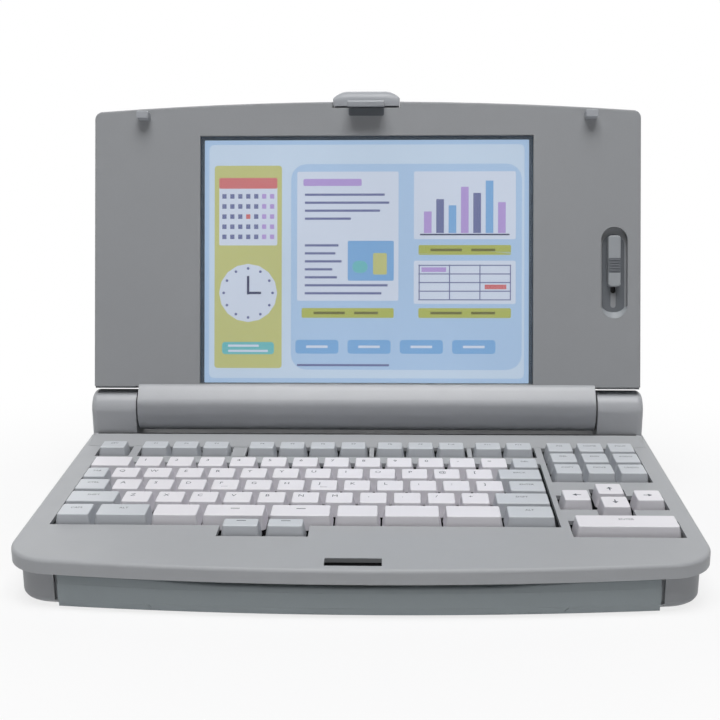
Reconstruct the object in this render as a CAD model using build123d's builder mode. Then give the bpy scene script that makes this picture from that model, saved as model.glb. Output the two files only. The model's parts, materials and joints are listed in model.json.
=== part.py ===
from build123d import *
import os
from math import cos, radians, sin, tan

# Portable word processor: a wedge shaped case with a keyboard, a printer behind the hinge,
# and a lid with a flat colour screen that folds down over the keys.
# Millimetres. +X is the user's right, +Y the back, +Z up; the origin is on the table,
# under the middle of the case. The lid stands open.

os.makedirs("parts", exist_ok=True)

# Key pitch sets the keyboard, and the case follows it
PITCH = 19.05
ROW_STEP = 19.0

# Case: the deck is a plane that rises to the back; v is the distance behind the number row
DECK_TILT = 5.0
DECK_HALF = 182.0
FRONT_V = -141.2
FRONT_BOW = 12.8
FRONT_CORNER = 25.0
FRONT_HEIGHT = 27.0
CASE_LENGTH = 297.0
WALL = 2.5
SEAM = 8.0
EDGE_ROUND = 2.0
FOOT_HEIGHT = 2.0

# Lower case stands inside the lip of the upper case
LOWER_HALF = 177.0
LOWER_FRONT_V = -138.2
LOWER_CORNER = 21.0
BOTTOM_ROUND = 4.0

# Printer housing behind the hinge
HOUSING_TOP = 51.5
HOUSING_Y = 75.0
BAY_HALF = 150.0
BAY_FRONT_Y = 86.0
BAY_REAR_Y = 144.0

# Carry handle in the front of the case
HANDLE_HALF = 153.5
HANDLE_GAP = 5.0
HANDLE_FRONT_V = -138.8
HANDLE_BOW = 9.1
HANDLE_BOTTOM = 3.0
BAY_WALL_V = -123.5
BAY_DEPTH = 124.0
ARM_X = 135.0
ARM_Z = 8.5

# Keys: heights are above the deck
KEY_TOP = 4.75
KEY_BOTTOM = -3.6
KEY_GAP = 0.9
KEY_TAPER = 11.0
KEY_CORNER = 2.6
KEY_EDGE = 0.7
KEY_WALL = 1.3
STEM = 5.0
STEM_BOTTOM = -9.8
PLATE_TOP = -9.0
PLATE_THICK = 1.0
BOARD_TOP = -13.2
BOARD_THICK = 1.6
KEYS_LEFT = -166.9
KEYS_RIGHT = 106.7

# Keys that stand apart from the five rows: centres and sizes of their cells
FUNCTION_V = 30.3
FUNCTION_DEPTH = 16.0
FUNCTION_WIDTH = 19.3
ESCAPE_X = -159.2
FRONT_LEFT_X = -63.2
FRONT_RIGHT_X = -39.3
FRONT_KEY_V = -92.9
FRONT_KEY_WIDTH = 22.6
FRONT_KEY_DEPTH = 13.6
CLUSTER_X = 122.1
CLUSTER_V = 28.5
ARROW_X = 141.2
ARROW_V = -51.3
ARROW_APART = 20.2
ARROW_STEP = 19.6
ARROW_WIDTH = 18.4
EXECUTE_X = 142.6
EXECUTE_V = -88.0

# Hinge line, and the lid in its open pose
HINGE_V = 66.0
HINGE_H = 18.0
LID_LEAN = 15.4
BARREL_RADIUS = 14.4
BARREL_HALF = 148.0
CAP_RADIUS = 12.0
CAP_INNER = 149.5
CAP_OUTER = 179.0
PIN_RADIUS = 4.0
RUNNING = 0.05
LEAF_END = 13.5

# Lid: s is the distance from the hinge line, d is forward of it
LID_HALF = 177.0
LID_TOP = 199.0
LID_CORNER_TOP = 192.5
LID_FOOT = 14.0
LID_CORNER = 5.0
FACE_D = 10.5
BEZEL_THICK = 2.5
BACK_D = -12.5
LID_WALL = 2.2
WINDOW_HALF = 108.0
WINDOW_FOOT = 15.6
WINDOW_TOP = 176.9

# Latch: its pivot and its notch in the lid's top edge, and its slot in the deck
LATCH_PIVOT_S = 196.0
LATCH_PIVOT_D = -4.0
LATCH_HALF = 21.6
LATCH_TOP = 206.8
HOOK_HALF = 11.0
NOTCH_HALF = 22.2
NOTCH_S = 194.8
SLOT_LEFT = -16.5
SLOT_RIGHT = 12.5
SLOT_FRONT_V = -136.0
SLOT_BACK_V = -127.0

# Oval cup of the brightness slider
OVAL_X = 160.0
OVAL_S = 88.0
OVAL_LONG = 59.0
OVAL_WIDE = 17.0
SLIDER_S = 95.5
SLIDER_LONG = 33.0
SLIDER_WIDE = 8.0

# Bumpers of the lid
BUMPER_X = 144.5
BUMPER_S = 189.5

# Tongues of the hinge leaves and the slots that they pass, and the slot of the screen's cable
TONGUE_X = 141.0
TONGUE_SLOT = 10.6
TONGUE_THICK = 2.6
CABLE_SLOT = 40.0
CABLE_THICK = 6.0

# Hinge bracket: its upright and the inner end of its pin
BRACKET_X = 163.5
BRACKET_THICK = 3.0
BRACKET_WIDE = 16.0
PIN_END = 128.0

# Floppy disk drive, at the right side under the keys
DRIVE_Y = -5.0
DRIVE_HALF = 50.8
DRIVE_LEFT = 62.0
DRIVE_RIGHT = LOWER_HALF - WALL - 0.3
DRIVE_LOW = 5.5
DRIVE_HIGH = 19.0
DISK_Z = 14.4
DISK_SLOT = 5.0
DISK_WIDTH = 93.0
BUTTON_Y = 32.0
BUTTON_Z = 8.4
BUTTON_LONG = 12.0
BUTTON_TALL = 3.6

# Power inlet, power switch and power supply
INLET_X = -148.0
INLET_Z = 20.0
INLET_WIDE = 22.0
INLET_TALL = 14.0
INLET_DEEP = 12.0
CONTACT_APART = 6.5
SWITCH_Y = 100.0
SWITCH_Z = 20.0
SWITCH_TRAVEL = 6.0
SUPPLY_X = -115.0
SUPPLY_SIZE = (104.0, 100.0, 13.0)

# Main board: its middle and size, with its chips as x, y and side length
INSIDE_Y = -20.0
MAIN_BOARD_Z = 8.0
MAIN_BOARD_SIZE = (108.0, 150.0, 1.6)
main_chips = [(-20, -60, 28), (25, -50, 22), (-10, 0, 30), (30, 30, 18)]

# Screws and feet
POST_RADIUS = 4.0
SCREW_RADIUS = 1.5
SCREW_HEAD = 3.0
HEAD_DEEP = 5.0
FOOT_RADIUS = 8.0
foot_spots = [(-140, -112), (140, -112), (-150, 128), (150, 128)]

# Printer: paper roller, guide rod, carriage, gear and motor, and the cover with its paper slot
FRAME_HALF = 134.0
FRAME_FRONT = 84.0
FRAME_REAR = 134.0
FRAME_TOP = 42.0
FRAME_THICK = 2.0
ROLLER_Y = 118.0
ROLLER_Z = 30.0
ROLLER_RADIUS = 9.0
ROLLER_HALF = 120.0
SHAFT_RADIUS = 3.0
SHAFT_OUT = 5.0
ROD_Y = 93.0
ROD_Z = 22.0
CARRIAGE_X = -98.0
CARRIAGE_SIZE = (46.0, 14.0, 14.0)
CASSETTE_Y = 90.0
CASSETTE_SIZE = (44.0, 22.0, 9.0)
GEAR_TEETH = 32
GEAR_RADIUS = 13.0
MOTOR_Y = 94.0
MOTOR_Z = 18.0
MOTOR_RADIUS = 12.0
MOTOR_LONG = 26.0
COVER_AXIS_Y = 141.0
COVER_AXIS_Z = HOUSING_TOP - 2.5
COVER_PIN = 1.5
PAPER_WIDTH = 226.0
PAPER_SLOT = 13.0

TILT = radians(DECK_TILT)
FRONT_Y = -CASE_LENGTH / 2
REAR_Y = CASE_LENGTH / 2
DECK_Y = FRONT_Y - FRONT_V * cos(TILT) - EDGE_ROUND * sin(TILT)
DECK_Z = FRONT_HEIGHT - FRONT_V * sin(TILT)
LID_SEAM_D = FACE_D - BEZEL_THICK
CASE_FLOOR = FOOT_HEIGHT + WALL

deck = Plane(origin=(0, DECK_Y, DECK_Z), x_dir=(1, 0, 0), z_dir=(0, -sin(TILT), cos(TILT)))
deck_side = Plane(origin=deck.origin, x_dir=deck.y_dir, z_dir=(1, 0, 0))
deck_up = Axis(deck.origin, deck.z_dir)
hinge_point = deck.from_local_coords((0, HINGE_V, HINGE_H))
LEAN = radians(LID_LEAN - DECK_TILT)
lid = Plane(origin=hinge_point, x_dir=(1, 0, 0), z_dir=(0, -cos(LEAN), sin(LEAN)))
lid_side = Plane(origin=lid.origin, x_dir=lid.y_dir, z_dir=(1, 0, 0))


def deck_height(y, above=0.0):
    """Height over the table of a plane parallel to the deck."""
    return DECK_Z + (y - DECK_Y) * tan(TILT) + above / cos(TILT)


def case_plan(half_width, front_v, corner):
    """Plan of the case: straight sides, a bowed front edge and round front corners."""
    front_left = (-half_width, front_v + FRONT_BOW)
    front_right = (half_width, front_v + FRONT_BOW)
    back_v = 190.0
    with BuildSketch() as plan:
        with BuildLine():
            ThreePointArc(front_left, (0, front_v), front_right)
            Polyline(front_right, (half_width, back_v), (-half_width, back_v), front_left)
        make_face()
        fillet(plan.vertices().group_by(Axis.Y)[0], corner)
    return plan.sketch


def outline(points):
    """A face from its corner points."""
    with BuildSketch() as face:
        with BuildLine():
            Polyline(*points, close=True)
        make_face()
    return face.sketch


def opening(left, right, front, back):
    """A rectangle from its four sides."""
    return outline([(left, front), (right, front), (right, back), (left, back)])


def lid_plan(inset, foot):
    """Plan of the lid: straight sides and a bowed top edge."""
    half = LID_HALF - inset
    top_left = (-half, LID_CORNER_TOP - inset)
    top_right = (half, LID_CORNER_TOP - inset)
    with BuildSketch() as plan:
        with BuildLine():
            ThreePointArc(top_left, (0, LID_TOP - inset), top_right)
            Polyline(top_right, (half, foot), (-half, foot), top_left)
        make_face()
        top_corners = plan.vertices().filter_by(lambda vertex: vertex.Y > LID_TOP / 2)
        fillet(top_corners, LID_CORNER - inset / 2)
    return plan.sketch


# Key cells: left edge, right edge and the row's centre line
def key_row(widths, centre):
    """Cells of a row that starts at the left of the keyboard, from widths in key pitches."""
    cells = []
    left = KEYS_LEFT
    for width in widths:
        right = min(left + width * PITCH, KEYS_RIGHT)
        cells.append((left, right, centre))
        left = right
    return cells


def key_run(left, count, width, centre):
    """Cells of one width side by side."""
    return [(left + index * width, left + (index + 1) * width, centre) for index in range(count)]


ARROW_UP_V = ARROW_V + ARROW_STEP / 2
ARROW_DOWN_V = ARROW_V - ARROW_STEP / 2

number_cells = key_row([1.4] + [1] * 12 + [1], 0)
upper_cells = key_row([0.87] + [1] * 12 + [1.6], -ROW_STEP)
home_cells = key_row([1.115] + [1] * 12 + [1.3], -2 * ROW_STEP)
lower_cells = key_row([1.625] + [1] * 11 + [1.8], -3 * ROW_STEP)
bottom_edges = [-166.9, -145.7, -114.5, -86.7, -50.5, -14.3, 11.6, 45.0, 78.3, 106.7]
bottom_all = [(left, right, -4 * ROW_STEP) for left, right in zip(bottom_edges[:-1], bottom_edges[1:])]
function_cells = []
for group_left, group_count in ((-142.3, 3), (-74.7, 4), (6.2, 3), (67.8, 2)):
    function_cells += key_run(group_left, group_count, FUNCTION_WIDTH, FUNCTION_V)
cluster_cells = []
for cluster_row in range(3):
    row_v = CLUSTER_V - cluster_row * ROW_STEP
    cluster_cells += key_run(CLUSTER_X - PITCH / 2, 3, PITCH, row_v)


def single(centre_x, width, centre_v):
    """One cell about its centre."""
    return [(centre_x - width / 2, centre_x + width / 2, centre_v)]


# Each group of keys with its cells and the depth of a cell
key_groups = {
    "escape_key": (single(ESCAPE_X, FUNCTION_WIDTH, FUNCTION_V), FUNCTION_DEPTH),
    "function_keys": (function_cells, FUNCTION_DEPTH),
    "number_row_keys": (number_cells, ROW_STEP),
    "upper_letter_keys": (upper_cells, ROW_STEP),
    "home_row_keys": (home_cells, ROW_STEP),
    "lower_letter_keys": (lower_cells, ROW_STEP),
    "bottom_row_keys": (bottom_all[:3] + bottom_all[5:], ROW_STEP),
    "thumb_shift_left": ([bottom_all[3]], ROW_STEP),
    "thumb_shift_right": ([bottom_all[4]], ROW_STEP),
    "front_key_left": (single(FRONT_LEFT_X, FRONT_KEY_WIDTH, FRONT_KEY_V), FRONT_KEY_DEPTH),
    "front_key_right": (single(FRONT_RIGHT_X, FRONT_KEY_WIDTH, FRONT_KEY_V), FRONT_KEY_DEPTH),
    "cluster_keys": (cluster_cells, ROW_STEP),
    "arrow_key_left": (single(ARROW_X - ARROW_APART, ARROW_WIDTH, ARROW_V), ROW_STEP),
    "arrow_key_up": (single(ARROW_X, ARROW_WIDTH, ARROW_UP_V), ROW_STEP),
    "arrow_key_down": (single(ARROW_X, ARROW_WIDTH, ARROW_DOWN_V), ROW_STEP),
    "arrow_key_right": (single(ARROW_X + ARROW_APART, ARROW_WIDTH, ARROW_V), ROW_STEP),
    "execute_key": (single(EXECUTE_X, 3 * PITCH, EXECUTE_V), ROW_STEP),
}

# Openings of the deck for the keys: left, right, front and back
key_wells = [
    (-168.3, 108.1, -86.4, 10.4),
    (-169.8, -148.6, 21.4, 39.2),
    (-143.2, 107.4, 21.4, 39.2),
    (-75.6, -26.9, -100.6, -85.4),
    (111.6, 170.7, -20.0, 38.9),
    (111.0, 171.4, -61.7, -40.9),
    (131.1, 151.3, -71.5, -31.1),
    (113.0, 172.2, -99.2, -77.4),
]

# Posts that hang the key plate under the deck, and the case screws: x and v
plate_posts = [(-155, 15.9), (-30, 15.9), (90, 15.9), (-140, -94), (10, -94), (100, -94)]
case_screws = [(-160, -112.5), (30, -112.5), (160, -112.5), (-167, 141), (167, 141)]


def screw_head_h(screw_v):
    """Height of a screw's head over the deck, from the depth of its hole."""
    return FOOT_HEIGHT + HEAD_DEEP - deck_height(DECK_Y + screw_v * cos(TILT))


# Lower case
with BuildPart() as lower_hollow:
    with BuildSketch(deck.offset(-SEAM)):
        add(case_plan(LOWER_HALF - WALL, LOWER_FRONT_V + WALL, LOWER_CORNER - WALL))
        add(opening(-160, 160, -150, BAY_WALL_V + WALL), mode=Mode.SUBTRACT)
    extrude(amount=-80)
    with BuildSketch(Plane.YZ):
        add(
            outline(
                [
                    (-170, CASE_FLOOR),
                    (REAR_Y - WALL, CASE_FLOOR),
                    (REAR_Y - WALL, 80),
                    (-170, 80),
                ]
            )
        )
    extrude(amount=200, both=True, mode=Mode.INTERSECT)

with BuildPart() as lower_case:
    with BuildSketch(deck.offset(-SEAM)):
        add(case_plan(LOWER_HALF, LOWER_FRONT_V, LOWER_CORNER))
    extrude(amount=-80)
    with BuildSketch(Plane.YZ):
        add(outline([(-170, FOOT_HEIGHT), (REAR_Y, FOOT_HEIGHT), (REAR_Y, 80), (-170, 80)]))
    extrude(amount=200, both=True, mode=Mode.INTERSECT)
    fillet(lower_case.faces().sort_by(Axis.Z)[0].edges(), BOTTOM_ROUND)
    add(lower_hollow.part, mode=Mode.SUBTRACT)
    # Bay of the handle, open to the front, with a floor that the handle slides on
    with BuildSketch(deck.offset(-SEAM)):
        add(opening(-HANDLE_HALF - 2, HANDLE_HALF + 2, -150, -131.0))
    extrude(amount=-80, mode=Mode.SUBTRACT)
    with BuildSketch(Plane.XY.offset(CASE_FLOOR)):
        add(opening(-HANDLE_HALF - 2, HANDLE_HALF + 2, -170, DECK_Y - BAY_DEPTH))
    extrude(amount=60, mode=Mode.SUBTRACT)
    # Slots for the two arms of the handle
    with Locations((-ARM_X, DECK_Y - BAY_DEPTH, ARM_Z), (ARM_X, DECK_Y - BAY_DEPTH, ARM_Z)):
        Box(14.8, 20, 5.8, mode=Mode.SUBTRACT)
    # Screw posts
    with BuildSketch(deck.offset(-SEAM)):
        with Locations(*case_screws):
            Circle(POST_RADIUS)
    extrude(until=Until.NEXT, dir=-deck.z_dir)
    with BuildSketch(deck.offset(-SEAM)):
        with Locations(*case_screws):
            Circle(SCREW_RADIUS + 0.2)
    extrude(amount=-80, mode=Mode.SUBTRACT)
    for screw_x, screw_v in case_screws:
        with BuildSketch(deck.offset(screw_head_h(screw_v))):
            with Locations((screw_x, screw_v)):
                Circle(SCREW_HEAD + 0.3)
        extrude(amount=-20, mode=Mode.SUBTRACT)
    # Disk slot and the hole of the eject button, right side
    with Locations((LOWER_HALF, DRIVE_Y, DISK_Z)):
        Box(12, DISK_WIDTH, DISK_SLOT, mode=Mode.SUBTRACT)
    with Locations((LOWER_HALF, BUTTON_Y, BUTTON_Z)):
        Box(12, BUTTON_LONG + 0.8, BUTTON_TALL + 0.8, mode=Mode.SUBTRACT)
    # Inlet hole in the back, switch slot in the left side
    with Locations((INLET_X, REAR_Y, INLET_Z)):
        Box(INLET_WIDE - 2, 12, INLET_TALL - 2, mode=Mode.SUBTRACT)
    with Locations((-LOWER_HALF, SWITCH_Y, SWITCH_Z)):
        Box(12, 13.4, 5.4, mode=Mode.SUBTRACT)
lower_case.part.label = "lower_case"
export_step(lower_case.part, "parts/lower_case.step")

# Upper case: the deck, its lip and the top of the printer housing
with BuildPart() as upper_hollow:
    with BuildSketch(deck.offset(-SEAM - 1)):
        add(case_plan(DECK_HALF - WALL, FRONT_V + WALL, FRONT_CORNER - WALL))
    extrude(amount=SEAM + 10)
    with BuildSketch(Plane.YZ):
        add(
            outline(
                [
                    (-170, deck_height(-170, -SEAM - 1)),
                    (REAR_Y - WALL, deck_height(REAR_Y - WALL, -SEAM - 1)),
                    (REAR_Y - WALL, HOUSING_TOP - WALL),
                    (HOUSING_Y + WALL, HOUSING_TOP - WALL),
                    (HOUSING_Y + WALL, deck_height(HOUSING_Y + WALL, -WALL)),
                    (-170, deck_height(-170, -WALL)),
                ]
            )
        )
    extrude(amount=200, both=True, mode=Mode.INTERSECT)

with BuildPart() as upper_case:
    with BuildSketch(deck.offset(-SEAM)):
        add(case_plan(DECK_HALF, FRONT_V, FRONT_CORNER))
    extrude(amount=SEAM + 10)
    with BuildSketch(Plane.YZ):
        add(
            outline(
                [
                    (-170, deck_height(-170, -SEAM)),
                    (REAR_Y, deck_height(REAR_Y, -SEAM)),
                    (REAR_Y, HOUSING_TOP),
                    (HOUSING_Y, HOUSING_TOP),
                    (HOUSING_Y, deck_height(HOUSING_Y)),
                    (-170, deck_height(-170)),
                ]
            )
        )
    extrude(amount=200, both=True, mode=Mode.INTERSECT)
    deck_face = upper_case.faces().filter_by(deck_up).sort_by(deck_up)[-1]
    fillet(deck_face.edges().sort_by(Axis.Y)[:-1], EDGE_ROUND)
    housing_face = upper_case.faces().filter_by(Axis.Z).sort_by(Axis.Z)[-1]
    fillet(housing_face.edges(), EDGE_ROUND)
    add(upper_hollow.part, mode=Mode.SUBTRACT)
    # Lip of the seam under the deck edge reaches in to the lower case
    with BuildSketch(deck.offset(-SEAM)):
        add(case_plan(DECK_HALF - 1, FRONT_V + 1, FRONT_CORNER - 1))
        add(case_plan(LOWER_HALF - WALL, LOWER_FRONT_V + WALL, LOWER_CORNER - WALL), mode=Mode.SUBTRACT)
        add(opening(-200, 200, DECK_HALF - 40, 200), mode=Mode.SUBTRACT)
    extrude(amount=1.5)
    # Key wells
    for well in key_wells:
        with BuildSketch(deck.offset(-WALL - 1)):
            add(opening(*well))
        extrude(amount=WALL + 4, mode=Mode.SUBTRACT)
    # Latch slot
    with BuildSketch(deck.offset(-WALL - 1)):
        add(opening(SLOT_LEFT, SLOT_RIGHT, SLOT_FRONT_V, SLOT_BACK_V))
    extrude(amount=WALL + 4, mode=Mode.SUBTRACT)
    # Posts for the key plate and for the case screws
    with BuildSketch(deck.offset(-WALL + 0.2)):
        with Locations(*plate_posts):
            Circle(3)
    extrude(amount=PLATE_TOP + WALL - 0.2)
    with BuildSketch(deck.offset(-SEAM)):
        with Locations(*case_screws):
            Circle(POST_RADIUS)
    extrude(amount=SEAM - WALL + 0.3)
    with BuildSketch(deck.offset(-SEAM)):
        with Locations(*case_screws):
            Circle(SCREW_RADIUS + 0.05)
    extrude(amount=5.5, mode=Mode.SUBTRACT)
    # Slots for the hinge brackets
    for side in (-1, 1):
        with BuildSketch(deck.offset(-WALL - 1)):
            with Locations((side * (BRACKET_X + BRACKET_THICK / 2), HINGE_V)):
                Rectangle(BRACKET_THICK + 0.6, BRACKET_WIDE + 0.6)
        extrude(amount=WALL + 4, mode=Mode.SUBTRACT)
    # Bay of the printer with the bearing blocks of its cover
    with Locations((-BAY_HALF - 3.5, COVER_AXIS_Y, 47.5), (BAY_HALF + 3.5, COVER_AXIS_Y, 47.5)):
        Box(7, 8, 6)
    with BuildSketch(Plane.XY.offset(HOUSING_TOP - WALL - 1)):
        add(opening(-BAY_HALF, BAY_HALF, BAY_FRONT_Y, BAY_REAR_Y))
    extrude(amount=WALL + 4, mode=Mode.SUBTRACT)
    with BuildSketch(Plane.YZ.offset(-BAY_HALF - 5)):
        with Locations((COVER_AXIS_Y, COVER_AXIS_Z)):
            Circle(COVER_PIN + RUNNING)
    extrude(amount=2 * BAY_HALF + 10, mode=Mode.SUBTRACT)
upper_case.part.label = "upper_case"
export_step(upper_case.part, "parts/upper_case.step")

# Feet
with BuildPart() as rubber_feet:
    with BuildSketch(Plane.XY):
        with Locations(*foot_spots):
            Circle(FOOT_RADIUS)
    extrude(amount=FOOT_HEIGHT)
    fillet(rubber_feet.edges().group_by(Axis.Z)[0], 0.6)
rubber_feet.part.label = "rubber_feet"
export_step(rubber_feet.part, "parts/rubber_feet.step")

# Case screws, driven from below
with BuildPart() as screws:
    for screw_x, screw_v in case_screws:
        head_h = screw_head_h(screw_v)
        with BuildSketch(deck.offset(head_h)):
            with Locations((screw_x, screw_v)):
                Circle(SCREW_HEAD)
        extrude(amount=-2)
        with BuildSketch(deck.offset(head_h)):
            with Locations((screw_x, screw_v)):
                Circle(SCREW_RADIUS)
        extrude(amount=-SEAM + 5 - head_h)
        with BuildSketch(deck.offset(head_h - 2)):
            with Locations((screw_x, screw_v)):
                Rectangle(4, 0.8)
                Rectangle(0.8, 4)
        extrude(amount=1, mode=Mode.SUBTRACT)
screws.part.label = "case_screws"
export_step(screws.part, "parts/case_screws.step")

# Carry handle: a bowed bar with two arms that slide in the case
with BuildPart() as carry_handle:
    with BuildSketch(deck.offset(-SEAM - HANDLE_GAP)):
        bar_left = (-HANDLE_HALF, HANDLE_FRONT_V + HANDLE_BOW)
        bar_right = (HANDLE_HALF, HANDLE_FRONT_V + HANDLE_BOW)
        with BuildLine():
            ThreePointArc(bar_left, (0, HANDLE_FRONT_V), bar_right)
            Polyline(bar_right, (HANDLE_HALF, -100), (-HANDLE_HALF, -100), bar_left)
        make_face()
    extrude(amount=-40)
    with BuildSketch(Plane.YZ):
        add(opening(-170, DECK_Y - BAY_DEPTH - 0.6, HANDLE_BOTTOM, 80))
    extrude(amount=200, both=True, mode=Mode.INTERSECT)
    # The front of the floor stands in a step under the bar
    with BuildSketch(Plane.XY):
        add(opening(-200, 200, DECK_Y - 131.9, 0))
    extrude(amount=CASE_FLOOR + 0.3, mode=Mode.SUBTRACT)
    handle_face = carry_handle.faces().filter_by(GeomType.PLANE, reverse=True).sort_by(Axis.Y)[0]
    fillet(handle_face.edges().filter_by(GeomType.LINE, reverse=True).sort_by(Axis.Z)[-1], 1.0)
    with Locations((-ARM_X, DECK_Y - 98, ARM_Z), (ARM_X, DECK_Y - 98, ARM_Z)):
        Box(14, 58, 5)
carry_handle.part.label = "carry_handle"
export_step(carry_handle.part, "parts/carry_handle.step")

# Keys: hollow tapered caps, each with a stem
stem_spots = []
for group_name, (cells, depth) in key_groups.items():
    with BuildPart() as key_group:
        with BuildSketch(deck.offset(KEY_BOTTOM)):
            for left, right, centre_v in cells:
                with Locations(((left + right) / 2, centre_v)):
                    RectangleRounded(right - left - KEY_GAP, depth - KEY_GAP, KEY_CORNER)
        extrude(amount=KEY_TOP - KEY_BOTTOM, taper=KEY_TAPER)
        top_faces = key_group.faces().filter_by(deck_up).group_by(deck_up)[-1]
        fillet(top_faces.edges(), KEY_EDGE)
        with BuildSketch(deck.offset(KEY_BOTTOM)):
            for left, right, centre_v in cells:
                with Locations(((left + right) / 2, centre_v)):
                    Rectangle(right - left - KEY_GAP - 2 * KEY_WALL, depth - KEY_GAP - 2 * KEY_WALL)
        extrude(amount=KEY_TOP - KEY_BOTTOM - KEY_WALL, taper=KEY_TAPER, mode=Mode.SUBTRACT)
        spots = [((left + right) / 2, centre_v) for left, right, centre_v in cells]
        with BuildSketch(deck.offset(STEM_BOTTOM)):
            with Locations(*spots):
                Rectangle(STEM, STEM)
        extrude(amount=KEY_TOP - KEY_WALL / 2 - STEM_BOTTOM)
    stem_spots += spots
    key_group.part.label = group_name
    export_step(key_group.part, "parts/" + group_name + ".step")

# Plate that guides the stems, and the switch board under it
with BuildPart() as keyboard_plate:
    with BuildSketch(deck.offset(PLATE_TOP)):
        add(opening(-171.5, 173.5, -103, 42))
        with Locations(*stem_spots):
            Rectangle(STEM + 0.8, STEM + 0.8, mode=Mode.SUBTRACT)
    extrude(amount=-PLATE_THICK)
    with BuildSketch(deck.offset(PLATE_TOP - PLATE_THICK)):
        with Locations(*plate_posts):
            Circle(2.4)
    extrude(amount=BOARD_TOP - PLATE_TOP + PLATE_THICK)
keyboard_plate.part.label = "keyboard_plate"
export_step(keyboard_plate.part, "parts/keyboard_plate.step")

with BuildPart() as key_switch_board:
    with BuildSketch(deck.offset(BOARD_TOP)):
        add(opening(-171, 173, -102, 41))
    extrude(amount=-BOARD_THICK)
key_switch_board.part.label = "key_switch_board"
export_step(key_switch_board.part, "parts/key_switch_board.step")

# Main board with its chips, on the floor of the case
with BuildPart() as main_board:
    with Locations((0, INSIDE_Y, MAIN_BOARD_Z)):
        Box(*MAIN_BOARD_SIZE)
    for chip_x, chip_y, chip_side in main_chips:
        with Locations((chip_x, chip_y, MAIN_BOARD_Z + 0.8)):
            Box(chip_side, chip_side, 3, align=(Align.CENTER, Align.CENTER, Align.MIN))
    with Locations((0, INSIDE_Y, CASE_FLOOR)):
        with GridLocations(96, 136, 2, 2):
            Cylinder(2.5, 3, align=(Align.CENTER, Align.CENTER, Align.MIN))
main_board.part.label = "main_board"
export_step(main_board.part, "parts/main_board.step")

# Power supply, left of the main board
with BuildPart() as power_supply:
    with Locations((SUPPLY_X, INSIDE_Y, CASE_FLOOR)):
        Box(*SUPPLY_SIZE, align=(Align.CENTER, Align.CENTER, Align.MIN))
    fillet(power_supply.edges().filter_by(Axis.Z), 3)
power_supply.part.label = "power_supply"
export_step(power_supply.part, "parts/power_supply.step")

# Floppy disk drive
with BuildPart() as floppy_drive:
    with Locations(((DRIVE_LEFT + DRIVE_RIGHT) / 2, DRIVE_Y, DRIVE_LOW)):
        Box(
            DRIVE_RIGHT - DRIVE_LEFT,
            2 * DRIVE_HALF,
            DRIVE_HIGH - DRIVE_LOW,
            align=(Align.CENTER, Align.CENTER, Align.MIN),
        )
    with Locations((DRIVE_RIGHT - 50, DRIVE_Y, DISK_Z)):
        Box(100.2, DISK_WIDTH, DISK_SLOT, mode=Mode.SUBTRACT)
    # Channel of the eject button
    with Locations((DRIVE_RIGHT - 10, BUTTON_Y, BUTTON_Z)):
        Box(20.2, BUTTON_LONG + 0.8, BUTTON_TALL + 0.8, mode=Mode.SUBTRACT)
    for foot_y in (-45, 35):
        with Locations((DRIVE_LEFT + 20, foot_y, CASE_FLOOR), (DRIVE_RIGHT - 20, foot_y, CASE_FLOOR)):
            Box(10, 6, DRIVE_LOW - CASE_FLOOR, align=(Align.CENTER, Align.CENTER, Align.MIN))
floppy_drive.part.label = "floppy_drive"
export_step(floppy_drive.part, "parts/floppy_drive.step")

with BuildPart() as floppy_eject_button:
    with Locations((LOWER_HALF + 2.5 - 7, BUTTON_Y, BUTTON_Z)):
        Box(14, BUTTON_LONG, BUTTON_TALL)
    fillet(floppy_eject_button.faces().sort_by(Axis.X)[-1].edges(), 0.6)
floppy_eject_button.part.label = "floppy_eject_button"
export_step(floppy_eject_button.part, "parts/floppy_eject_button.step")

# Power inlet in the back, with two contact pins in its cup
with BuildPart() as power_inlet:
    with Locations((INLET_X, REAR_Y - WALL, INLET_Z)):
        Box(INLET_WIDE + 4, INLET_DEEP, INLET_TALL + 3, align=(Align.CENTER, Align.MAX, Align.CENTER))
        Box(INLET_WIDE - 2.4, WALL - 0.3, INLET_TALL - 2.4, align=(Align.CENTER, Align.MIN, Align.CENTER))
    with BuildSketch(Plane.XZ.offset(-REAR_Y)):
        with Locations((INLET_X, INLET_Z)):
            SlotOverall(INLET_WIDE - 4.5, 9.4)
    extrude(amount=INLET_DEEP, mode=Mode.SUBTRACT)
    with BuildSketch(Plane.XZ.offset(-REAR_Y + INLET_DEEP)):
        with Locations((INLET_X - CONTACT_APART, INLET_Z), (INLET_X + CONTACT_APART, INLET_Z)):
            Circle(1.1)
    extrude(amount=-8)
power_inlet.part.label = "power_inlet"
export_step(power_inlet.part, "parts/power_inlet.step")

# Power switch, a slider in the left side
with BuildPart() as power_switch:
    with Locations((-LOWER_HALF - 1.6, SWITCH_Y - SWITCH_TRAVEL / 2, SWITCH_Z)):
        Box(6, 7, 4.8, align=(Align.MIN, Align.CENTER, Align.CENTER))
    fillet(power_switch.faces().sort_by(Axis.X)[0].edges(), 0.5)
    with Locations((-LOWER_HALF + WALL + 0.3, SWITCH_Y - SWITCH_TRAVEL / 2, SWITCH_Z)):
        Box(3, 10, 9, align=(Align.MIN, Align.CENTER, Align.CENTER))
power_switch.part.label = "power_switch"
export_step(power_switch.part, "parts/power_switch.step")


def arch(radius, foot):
    """Section of a hinge cap: a half round over straight sides, about the hinge line."""
    with BuildSketch() as section:
        with BuildLine():
            ThreePointArc(
                (HINGE_V - radius, HINGE_H),
                (HINGE_V, HINGE_H + radius),
                (HINGE_V + radius, HINGE_H),
            )
            Line((HINGE_V + radius, HINGE_H), (HINGE_V + radius, foot))
            Line((HINGE_V + radius, foot), (HINGE_V - radius, foot))
            Line((HINGE_V - radius, foot), (HINGE_V - radius, HINGE_H))
        make_face()
    return section.sketch


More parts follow.
